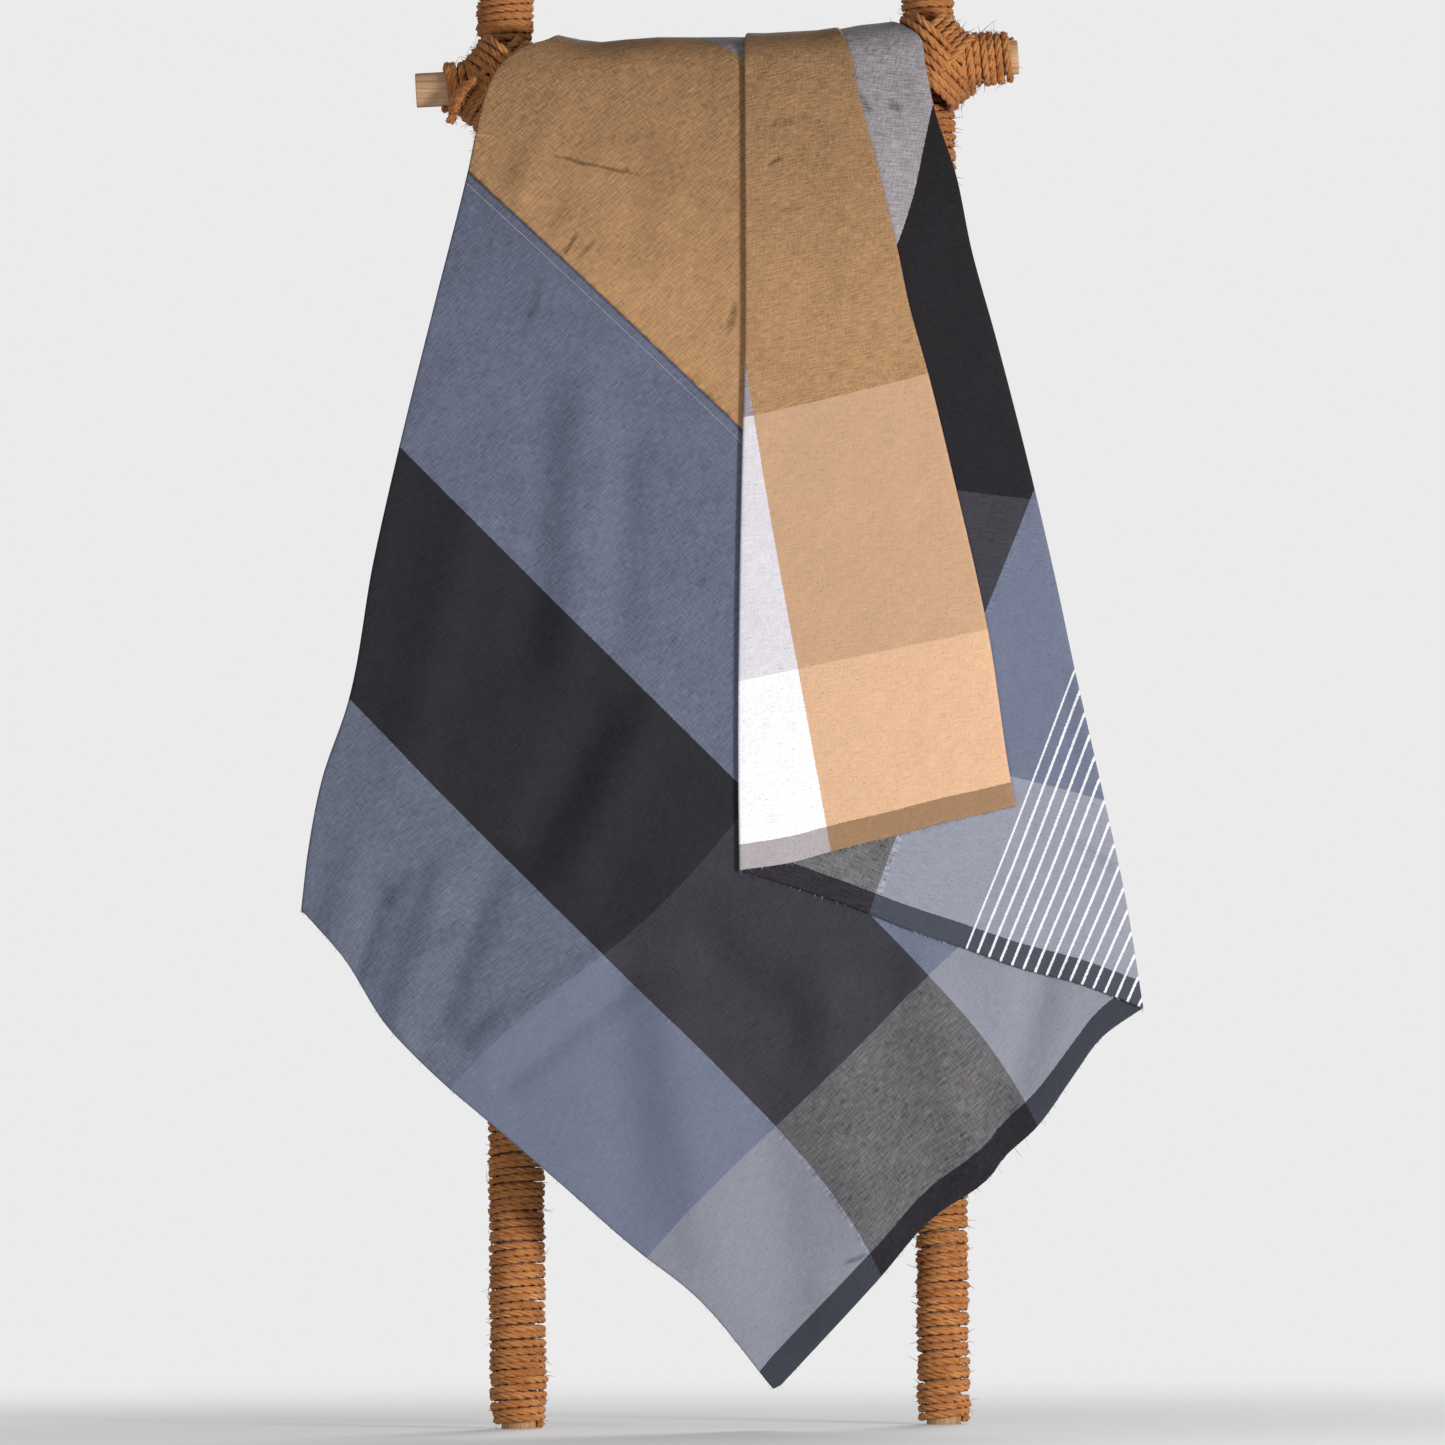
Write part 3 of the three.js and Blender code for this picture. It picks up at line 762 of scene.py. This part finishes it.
# Soft folds in the hanging front, shared by every layer: ends of each (x, height), half
# width and rise, in metres. Rises stand out from the rack, hollows go towards it.
SOFT_FOLDS = [
    (-0.388, 0.480, -0.360, 0.560, 0.011, -0.0034), (-0.410, 0.510, -0.385, 0.600, 0.018, 0.0034),
    (-0.342, 0.425, -0.290, 0.580, 0.019, 0.0048), (-0.300, 0.430, -0.240, 0.595, 0.017, -0.0052),
    (-0.232, 0.362, -0.105, 0.460, 0.010, -0.0036), (-0.250, 0.400, -0.120, 0.500, 0.013, 0.0034),
    (-0.212, 0.590, -0.135, 0.735, 0.026, -0.0044), (-0.150, 0.590, -0.080, 0.740, 0.026, 0.0040),
    (-0.010, 0.480, 0.066, 0.420, 0.026, -0.0044), (0.020, 0.530, 0.110, 0.470, 0.026, 0.0034),
    (-0.205, 0.820, -0.185, 1.060, 0.024, -0.0030), (-0.160, 0.800, -0.140, 1.080, 0.026, 0.0035),
    (-0.110, 0.830, -0.100, 1.020, 0.022, -0.0025), (-0.330, 0.700, -0.270, 0.940, 0.030, 0.0035),
    (-0.020, 0.180, -0.060, 0.420, 0.035, 0.0040), (0.060, 0.120, 0.040, 0.330, 0.030, -0.0035),
    (0.140, 0.210, 0.100, 0.450, 0.034, 0.0035), (0.250, 0.300, 0.200, 0.470, 0.026, 0.0045),
    (0.300, 0.360, 0.330, 0.470, 0.020, -0.0035), (-0.100, 0.250, -0.120, 0.560, 0.036, -0.0030),
    (-0.205, 1.300, -0.150, 1.410, 0.018, 0.0030), (-0.090, 1.250, -0.060, 1.400, 0.022, -0.0015),
]
FOLD_DEPTH = 2.2                    # one measure for all the folds above
BROAD_DRIFT = 0.0022
FINE_DRIFT = 0.0009
BACK_DRIFT = 0.004
EDGE_THIN = 0.35                    # the plies draw together along the sheet's edges


def fold_rise(x, height):
    rise = np.zeros_like(x)
    for x0, h0, x1, h1, width, lift in SOFT_FOLDS:
        run_x, run_h = x1 - x0, h1 - h0
        share = ((x - x0) * run_x + (height - h0) * run_h) / (run_x**2 + run_h**2)
        share = np.clip(share, 0.0, 1.0)
        off = np.hypot(x - x0 - share * run_x, height - h0 - share * run_h)
        rise += FOLD_DEPTH * lift * np.exp(-(off / width) ** 2)
    return rise


def drift(x, height, size, seed):
    """Gentle unevenness, the same for every layer at one place."""
    values = [noise.noise(Vector((a / size, b / size, seed)))
              for a, b in zip(x.ravel(), height.ravel())]
    return np.array(values).reshape(x.shape)


below = np.clip((rung_height(x_flat) - height_flat) / 0.10, 0.0, 1.0)
rise = fold_rise(x_flat, height_flat)
rise = rise + BROAD_DRIFT * drift(x_flat, height_flat, 0.16, 1.5)
rise = rise + FINE_DRIFT * drift(x_flat, height_flat, 0.05, 4.5)
rise = rise * below

# The hanging front follows the leaning ladder; over the rung the layers turn round it, and
# behind it they hang straight down.
front_out = FRONT_STAND + levels[None, :] * FRONT_LAYER + rise
lift = np.interp(x_flat, *np.array(SADDLE_LIFT).T)
saddle_out = SADDLE + levels[None, :] * SADDLE_LAYER + lift
hang_y = RUNG_Y - front_out
hang_z = (height_flat + hang_y * math.sin(LEAN)) / math.cos(LEAN)
axis_z = TOP_ALONG + x_flat * math.tan(TOP_TILT)
passed = hang_z - axis_z
quarter = math.pi / 2 * np.sqrt((front_out**2 + saddle_out**2) / 2)
last_turn = math.pi - LEAN
turn = np.where(passed < quarter, math.pi / 2 * passed / quarter,
                math.pi / 2 + (passed - quarter) / saddle_out)
drop = np.clip((turn - last_turn) * saddle_out, 0.0, None)
turn = np.clip(turn, 0.0, last_turn)
reach = np.where(turn < math.pi / 2, front_out, saddle_out)
round_y = RUNG_Y - reach * np.cos(turn) + drop * math.sin(LEAN)
round_z = axis_z + saddle_out * np.sin(turn) - drop * math.cos(LEAN)
sheet = np.stack([
    x_flat, np.where(passed > 0, round_y, hang_y), np.where(passed > 0, round_z, hang_z),
], axis=-1)
behind = np.clip(drop / 0.10, 0.0, 1.0)
sheet[..., 1] += behind * BACK_DRIFT * drift(x_flat, drop, 0.10, 8.5)
down_rows = np.gradient(sheet, axis=0)
across_columns = np.gradient(sheet, axis=1)
outward = np.cross(across_columns, down_rows)
outward /= np.linalg.norm(outward, axis=-1, keepdims=True) + 1e-12
edge_pinch = np.ones(sheet.shape[:2])
edge_pinch[[0, -1], :] = EDGE_THIN
edge_pinch[:, [0, -1]] = EDGE_THIN

CLOTH_UNIT = 1.6                    # metres of cloth to one unit of its own map
PLY = 0.00040
PLY_OFF = 0.00052                   # face and backing, from the sheet's middle


def ply_bmesh(off):
    """The folded sheet at an offset from its middle, as a grid with its cloth places."""
    ply = bmesh.new()
    row_count, column_count = sheet.shape[:2]
    bmesh.ops.create_grid(ply, x_segments=column_count - 1, y_segments=row_count - 1, size=1.0,
                          calc_uvs=False)
    cloth_map = ply.loops.layers.uv.new("cloth")
    placed = sheet + outward * (off * edge_pinch)[..., None]
    places = {}
    for vert in ply.verts:
        i = round((vert.co.x + 1) / 2 * (column_count - 1))
        j = round((vert.co.y + 1) / 2 * (row_count - 1))
        places[vert.index] = (j, i)
        vert.co = placed[j, i]
    for face in ply.faces:
        face.smooth = True
        for loop in face.loops:
            s, t = flat[places[loop.vert.index]][2:]
            loop[cloth_map].uv = (s / CLOTH_UNIT, t / CLOTH_UNIT)
    bmesh.ops.transform(ply, matrix=LADDER, verts=ply.verts)
    return ply


def finish_ply(ply, name, node, material, thickness=PLY):
    mesh = bpy.data.meshes.new(name)
    ply.to_mesh(mesh)
    ply.free()
    mesh.materials.append(material)
    piece = place_object(name, mesh)
    wall = piece.modifiers.new("thickness", "SOLIDIFY")
    wall.thickness = thickness
    wall.offset = 0.0
    hand_over(piece, "quilt", node)


# ---- Wadding -----------------------------------------------------------------------------
# A thin bonded layer of off-white cotton fibre, loose between the face and the backing.

batt = Finish("cotton_wadding")
batt_place = batt.add("TexCoord", output=3)
batt_fluff = batt.add("TexNoise", None, {"Vector": batt_place, "Scale": 220.0, "Detail": 5.0,
                                         "Roughness": 0.7})
batt_tone = batt.add("ValToRGB", None, {0: batt_fluff}, stops=[
    (0.3, dye("CFCAC0")), (0.7, dye("EDE9E0")),
])
batt_bump = batt.add("Bump", None, {"Strength": 0.6, "Distance": 0.0006, "Height": batt_fluff})
batt_material = batt.surface({"Base Color": batt_tone, "Roughness": 0.95, "Normal": batt_bump})
finish_ply(ply_bmesh(0.0), "quilt_cotton_wadding", "quilt_wadding", batt_material,
           0.0004)


# ---- Backing -----------------------------------------------------------------------------
# Yarn-dyed cotton chambray, woven in one piece: broad warp stripes in black, white and two
# blues with a group of fine white lines, crossed by dark, white, mid and dark weft bands.

HEM_WEFT = 0.026                    # dark weft next to the hem, then white, then mid, then dark
WHITE_WEFT = 0.193
MID_WEFT = 0.463
LINE_FIRST = 0.5555                 # the group of fine white lines in the backing
LINE_LAST = 0.7450
LINE_PITCH = 0.0125
LINE_WIDTH = 0.0025
LINE_SHOW = 0.88
WEFT_SHOW = 1.45                    # how strongly uneven yarns and handling mark the cloth
WARP_SHOW = 1.00
MOTTLE = 0.40
GRAIN = 0.25
PAINTED_SHADE_FROM = 1.12                    # painted shade: the cloth's colour is darkened from this height up to the next, where it bends over the top rung
PAINTED_SHADE_TO = 1.46
PAINTED_TOP_SHADE = 0.34
CREASE_PAINTED_SHADE_AND_HIGHLIGHT = 0.42
CREASE_SWAY = 0.004                 # how far a crease wanders, on the cloth's own map
SEAM_PAINTED_SHADE = 0.34
SEAM_GROOVE = 0.0004                # the painted seam shade is darkest this near the seam, and plain beyond its reach
SEAM_REACH = 0.0030
EVEN_SHARE = 0.38                   # how much of that marking the paler weft bands show,
COARSE_SHARE = 0.90                 # how much more where white weft crosses black warp
MIXED_SHARE = 0.50                  # or any paler weft does


def chambray(name, warps, wefts, creases, coarse, lines=None, seam=None):
    """Woven cloth. warps gives each stripe's far edge across the cloth; wefts gives, for the
    hem, white, mid and dark weft in turn, the colour seen on each stripe. Each crease gives
    its ends on the flat cloth (across, along), its width and its depth; along it the colour
    gets painted shade, or a painted highlight where the depth is negative, and the bump is
    pressed in. Between the places across the cloth given as coarse, white weft crosses black
    warp and its yarns show. lines colours the group of fine lines, and seam is how far across
    a sewn seam lies; a line of painted shade runs along it. Towards the top, where the cloth
    bends over the rung, its colour is darkened as painted shade."""
    cloth = Finish(name)
    cloth_place = cloth.add("UVMap", {"uv_map": "cloth"})

    def crease_mark(start, end, width):
        run = Vector(end) - Vector(start)
        length = run.length / CLOTH_UNIT
        ahead = (*run.normalized(), 0.0)
        aside = (-ahead[1], ahead[0], 0.0)
        start = (start[0] / CLOTH_UNIT, start[1] / CLOTH_UNIT, 0.0)
        from_start = cloth.add("VectorMath", {"operation": "SUBTRACT"},
                               {0: creased_place, 1: start})
        dot = {"operation": "DOT_PRODUCT"}
        along = cloth.add("VectorMath", dot, {0: from_start, 1: ahead}, output=1)
        off = cloth.add("VectorMath", dot, {0: from_start, 1: aside}, output=1)
        near = cloth.soft_step(off.work("ABSOLUTE", off), 0.0, width / CLOTH_UNIT, 1.0, 0.0)
        fade_in = cloth.soft_step(along, 0.0, length * 0.35)
        fade_out = cloth.soft_step(along, length * 0.6, length, 1.0, 0.0)
        return near * fade_in * fade_out

    def yarns(across, along, detail, seed):
        at = cloth.add("Mapping", None, {0: cloth_place, 1: (seed, seed, 0.0),
                                         3: (across, along, 1.0)})
        return cloth.add("TexNoise", None, {"Vector": at, "Scale": 1.0, "Detail": detail,
                                            "Roughness": 0.6})

    waver = yarns(900.0, 900.0, 1.0, 0.0)
    shift = (waver - 0.5) * (0.0016 / CLOTH_UNIT)
    across = cloth.add("SeparateXYZ", None, {0: cloth_place}, output=0) + shift
    along = cloth.add("SeparateXYZ", None, {0: cloth_place}, output=1) + shift
    bands = []
    for colours in wefts:
        edges = [0.0] + [edge / CLOTH_UNIT for edge in warps[:-1]]
        stops = [(edge, dye(colour)) for edge, colour in zip(edges, colours)]
        ramp = cloth.add("ValToRGB", None, {0: across}, stops=stops)
        ramp.socket.node.color_ramp.interpolation = "CONSTANT"
        bands.append(ramp)
    seen = cloth.blend(along > HEM_WEFT / CLOTH_UNIT, bands[0], bands[1])
    seen = cloth.blend(along > WHITE_WEFT / CLOTH_UNIT, seen, bands[2])
    seen = cloth.blend(along > MID_WEFT / CLOTH_UNIT, seen, bands[3])
    if lines:
        beat = (across * CLOTH_UNIT - LINE_FIRST) / LINE_PITCH
        place_in_beat = beat.work("FRACT", beat)
        inside = ((across > LINE_FIRST / CLOTH_UNIT) * (across < LINE_LAST / CLOTH_UNIT)
                  * (place_in_beat < LINE_WIDTH / LINE_PITCH))
        seen = cloth.blend(inside * LINE_SHOW, seen, dye(lines))
    weft_slub = yarns(105.0, 1250.0, 3.0, 3.0)
    warp_slub = yarns(1250.0, 150.0, 3.0, 7.0)
    speck = yarns(750.0, 750.0, 2.0, 11.0)
    bend = cloth.add("TexNoise", None, {"Vector": cloth_place, "Scale": 38.0, "Detail": 2.0},
                     output=1)
    sway = cloth.add("VectorMath", {"operation": "SCALE"}, {0: bend, "Scale": CREASE_SWAY})
    creased_place = cloth.add("VectorMath", {"operation": "ADD"}, {0: cloth_place, 1: sway})
    creased_place = cloth.add("VectorMath", {"operation": "SUBTRACT"},
                              {0: creased_place, 1: (CREASE_SWAY / 2,) * 3})
    mottle = yarns(30.0, 30.0, 5.0, 5.0)
    uneven_share = (along > MID_WEFT / CLOTH_UNIT) * (1 - EVEN_SHARE) + EVEN_SHARE
    on_black = (across > coarse[0] / CLOTH_UNIT) * (across < coarse[1] / CLOTH_UNIT)
    uneven_share = (uneven_share + on_black * (along < WHITE_WEFT / CLOTH_UNIT) * COARSE_SHARE
                    + on_black * (along < MID_WEFT / CLOTH_UNIT) * MIXED_SHARE)
    tone = ((weft_slub - 0.5) * WEFT_SHOW + (warp_slub - 0.5) * WARP_SHOW
            + (mottle - 0.5) * MOTTLE + (speck - 0.5) * GRAIN)
    # Painted shade: the colour gets darker towards the top of the cloth, by its height in the room,
    # where it bends over the rung.
    room_height = cloth.add("SeparateXYZ", None, {0: cloth.add("TexCoord", output=3)}, output=2)
    top_shade_mask = cloth.soft_step(room_height, PAINTED_SHADE_FROM, PAINTED_SHADE_TO)
    tone = tone * uneven_share + 1.0 - top_shade_mask * PAINTED_TOP_SHADE
    if seam:
        # Painted shadow: a dark line along the felled seam's edge.
        off_seam = across - seam / CLOTH_UNIT
        seam_shade_mask = cloth.soft_step(off_seam.work("ABSOLUTE", off_seam), SEAM_GROOVE / CLOTH_UNIT,
                               SEAM_REACH / CLOTH_UNIT, 1.0, 0.0)
        tone = tone - seam_shade_mask * SEAM_PAINTED_SHADE
    pressed = 0.0
    for start, end, width, depth in creases:
        # Painted shade along each crease's line, or a painted highlight where its depth is negative;
        # the same mark is also pressed into the bump.
        mark = crease_mark(start, end, width)
        tone = tone - mark * (CREASE_PAINTED_SHADE_AND_HIGHLIGHT * depth)
        pressed = mark * -depth + pressed
    grey = cloth.add("CombineColor", None, {0: tone, 1: tone, 2: tone})
    seen = cloth.blend(1.0, seen, grey, "MULTIPLY")
    fleck = cloth.add("MapRange", None, {0: speck, 1: 0.62, 2: 0.74, 3: 0.0, 4: 0.62})
    seen = cloth.blend(fleck, seen, (0.02, 0.02, 0.025, 1.0))
    weave_warp = cloth.add("TexWave", {"wave_type": "BANDS", "bands_direction": "X"},
                           {"Vector": cloth_place, "Scale": 620.0, "Distortion": 0.6})
    weave_weft = cloth.add("TexWave", {"wave_type": "BANDS", "bands_direction": "Y"},
                           {"Vector": cloth_place, "Scale": 560.0, "Distortion": 0.6})
    crumple = yarns(42.0, 42.0, 5.0, 13.0)
    weave = cloth.add("Bump", None, {
        "Strength": 0.35, "Distance": 0.00025,
        "Height": weave_warp * 0.4 + weave_weft * 0.4 + weft_slub * 0.8,
    })
    rumple = cloth.add("Bump", None, {"Strength": 0.6, "Distance": 0.0042, "Height": crumple,
                                      "Normal": weave})
    rumple = cloth.add("Bump", None, {"Strength": 1.0, "Distance": 0.0016, "Height": pressed,
                                      "Normal": rumple})
    return cloth.surface({
        "Base Color": seen, "Roughness": 0.74 + (weft_slub - 0.5) * 0.3,
        "Specular IOR Level": 0.16, "Normal": rumple,
        "Sheen Weight": 0.03, "Sheen Roughness": 0.4, "Sheen Tint": (0.9, 0.92, 1.0, 1.0),
    })


backing_cloth = chambray(
    "backing_chambray", [0.189, 0.552, 0.844, 1.073, 1.270],
    [["302E33", "4B4D59", "474C58", "302E33", "B0ABB0"],
     ["6E6D6F", "9193A0", "9597A5", "6E6D6F", "F4F1F5"],
     ["403F46", "6C7287", "70768C", "403F46", "DDDAE2"],
     ["252327", "60657A", "62677A", "252327", "B0AAAF"]],
    [((1.165, 0.860), (1.145, 0.834), 0.005, 0.9), ((1.151, 0.868), (1.133, 0.841), 0.004, 0.7),
     ((1.124, 0.858), (1.100, 0.849), 0.006, 0.8), ((0.700, 0.210), (0.760, 0.330), 0.012, 0.3),
     ((0.620, 0.120), (0.700, 0.150), 0.010, 0.3)],
    coarse=(0.844, 1.073), lines="F6F5FA",
)
finish_ply(ply_bmesh(-PLY_OFF), "quilt_chambray_backing", "quilt_backing",
           backing_cloth)


# ---- Face panels ---------------------------------------------------------------------------
# Two widths of the same weight of chambray joined in a flat felled seam: blue, black and blue
# stripes on one side of it, beige, white and beige on the other.

SEAM = 0.687
TOPSTITCH = 0.677

face_cloth = chambray(
    "face_chambray", [0.189, 0.416, 0.687, 0.960, 1.074, 1.270],
    [["3B3E47", "252328", "3B3E47", "A07E5F", "B2ABAD", "A07E5F"],
     ["888B97", "636164", "8B8E9A", "E1B793", "FCFAFD", "E1B793"],
     ["6F758A", "3A3A41", "6F758A", "CBA483", "E0DDE4", "CBA483"],
     ["666C7D", "2A292E", "676C80", "B58C64", "A09AA0", "B28A63"]],
    [((0.751, 1.080), (0.812, 0.987), 0.0028, 0.9), ((0.713, 1.146), (0.731, 1.121), 0.003, -0.8),
     ((0.686, 0.986), (0.723, 0.995), 0.004, 0.9), ((0.694, 0.974), (0.730, 0.977), 0.0035, 0.8),
     ((0.603, 0.956), (0.664, 0.990), 0.008, 0.5), ((0.745, 0.813), (0.787, 0.840), 0.006, 0.9),
     ((0.484, 0.756), (0.590, 0.838), 0.016, 0.35), ((0.399, 0.784), (0.518, 0.886), 0.018, 0.3),
     ((0.154, 0.041), (0.198, 0.023), 0.0035, 0.9), ((0.067, 0.640), (0.130, 0.642), 0.014, 0.5),
     ((0.020, 0.485), (0.094, 0.484), 0.013, 0.5), ((0.048, 0.585), (0.135, 0.570), 0.016, 0.4),
     ((1.143, 0.766), (1.198, 0.760), 0.007, 0.5), ((1.135, 0.721), (1.162, 0.727), 0.004, 0.7),
     ((1.134, 0.675), (1.178, 0.670), 0.007, 0.35), ((0.690, 1.010), (0.760, 1.030), 0.012, 0.3)],
    coarse=(0.189, 0.416), seam=SEAM,
)


def face_panel(keep_above):
    """The face ply cut along its seam, laid flat on its cloth places for the cut."""
    ply = ply_bmesh(PLY_OFF)
    hung = ply.verts.layers.float_vector.new("hung")
    cloth_map = ply.loops.layers.uv["cloth"]
    for vert in ply.verts:
        vert[hung] = vert.co
        uv = vert.link_loops[0][cloth_map].uv
        vert.co = (uv.x * CLOTH_UNIT, uv.y * CLOTH_UNIT, 0.0)
    for at in (TOPSTITCH, SEAM):
        everything = ply.verts[:] + ply.edges[:] + ply.faces[:]
        last = at == SEAM
        cut = bmesh.ops.bisect_plane(
            ply, geom=everything, dist=1e-7, plane_co=(at, 0, 0), plane_no=(1, 0, 0),
            clear_inner=last and keep_above, clear_outer=last and not keep_above)
        if at == TOPSTITCH:
            stitch_line = [v for v in cut["geom_cut"] if isinstance(v, bmesh.types.BMVert)]
            stitch_line.sort(key=lambda v: v.co.y)
    for vert in ply.verts:
        vert.co = vert[hung]
    ply.normal_update()
    row = [(tuple(v.co), tuple(v.normal)) for v in stitch_line if v.is_valid]
    ply.verts.layers.float_vector.remove(hung)
    return ply, row


blue_panel, stitch_row = face_panel(False)
finish_ply(blue_panel, "quilt_blue_black_face", "quilt_face_panel_blue_black",
           face_cloth)
beige_panel, _ = face_panel(True)
finish_ply(beige_panel, "quilt_beige_white_face", "quilt_face_panel_beige_white",
           face_cloth)


# ---- Topstitching ----------------------------------------------------------------------------
# The felled seam is held by one row of white cotton stitches, 10 mm inside the blue panel's
# edge. Each stitch is a short raised length of thread that dips into the cloth at both ends.

STITCH_LENGTH = 0.0031
STITCH_GAP = 0.0009
THREAD_RADIUS = 0.00032
STITCH_PATH = ((0.0, -0.0001), (0.3, 0.00042), (0.7, 0.00042), (1.0, -0.0001))

thread_tone = Finish("white_thread")
thread_place = thread_tone.add("TexCoord", output=3)
thread_ply = thread_tone.add("TexNoise", None, {"Vector": thread_place, "Scale": 1500.0})
thread_colour = thread_tone.add("ValToRGB", None, {0: thread_ply}, stops=[
    (0.35, dye("A9ADB8")), (0.65, dye("D5D8DE")),
])
thread_material = thread_tone.surface({"Base Color": thread_colour, "Roughness": 0.6})

stitches = strand_curve("seam_topstitching", 0)
line = np.array([place for place, _ in stitch_row])
line_out = np.array([out for _, out in stitch_row])
line = line + line_out * PLY / 2
line_run = run_along(line)


def on_seam(distance):
    place = np.array([np.interp(distance, line_run, line[:, k]) for k in range(3)])
    out = np.array([np.interp(distance, line_run, line_out[:, k]) for k in range(3)])
    return place, out / np.linalg.norm(out)


for k in range(int(line_run[-1] / (STITCH_LENGTH + STITCH_GAP))):
    start = k * (STITCH_LENGTH + STITCH_GAP)
    points = []
    for share, rise_above in STITCH_PATH:
        place, out = on_seam(start + share * STITCH_LENGTH)
        points.append(place + out * rise_above)
    lay_spline(stitches, np.array(points), THREAD_RADIUS)
stitches.materials.append(thread_material)
hand_over(place_object("seam_topstitching", stitches), "quilt")


# ---- Hem threads -------------------------------------------------------------------------------
# The hems are trimmed close and have begun to fray: short loose ends of grey and white yarn
# stand out of the edge, the longest of them near the quilt's lower right side.

HEM_THREADS = 620
HEM_NEAR = 0.012                    # a thread starts no further than this from a cut edge
LONG_SPOT = (0.20, 0.46)            # across the cloth, where the threads are longer
THREAD_ROOT = 0.0006
THREAD_TAPER = np.array([0.00022, 0.0002, 0.00016, 0.0001])
hem_chance = np.random.default_rng(11)
yarn_tone = Finish("frayed_yarn")
yarn_place = yarn_tone.add("TexCoord", output=3)
yarn_mix = yarn_tone.add("TexNoise", None, {"Vector": yarn_place, "Scale": 90.0})
yarn_colour = yarn_tone.add("ValToRGB", None, {0: yarn_mix}, stops=[
    (0.38, dye("4A4C55")), (0.50, dye("8E8F97")), (0.60, dye("C9C7CC")),
])
yarn_material = yarn_tone.surface({"Base Color": yarn_colour, "Roughness": 0.8})
fringe = strand_curve("hem_frayed_threads", 0)
edge_line = to_room(LADDER, sheet[0])
edge_inner = to_room(LADDER, sheet[4])
edge_cloth = flat[0, :, 2:]
on_hem = np.where((edge_cloth[:, 1] < HEM_NEAR) | (edge_cloth[:, 0] < HEM_NEAR))[0]
for _ in range(HEM_THREADS):
    i = hem_chance.choice(on_hem[:-1])
    share = hem_chance.uniform()
    root = edge_line[i] + (edge_line[i + 1] - edge_line[i]) * share
    away = edge_line[i] - edge_inner[i]
    away = away / (np.linalg.norm(away) + 1e-9)
    in_spot = LONG_SPOT[0] < edge_cloth[i, 0] < LONG_SPOT[1] and levels[i] < 1.5
    length = hem_chance.uniform(0.0012, 0.0065 if in_spot else 0.0032)
    lie = away + hem_chance.normal(size=3) * (0.45, 0.35, 0.35)
    bow = hem_chance.normal(size=3) * 0.35
    steps = np.linspace(0.0, 1.0, 4)[:, None]
    loose = root - away * THREAD_ROOT + length * (steps * lie + steps ** 2 * bow)
    lay_spline(fringe, loose, THREAD_TAPER)
fringe.materials.append(yarn_material)
hand_over(place_object("hem_frayed_threads", fringe), "quilt")
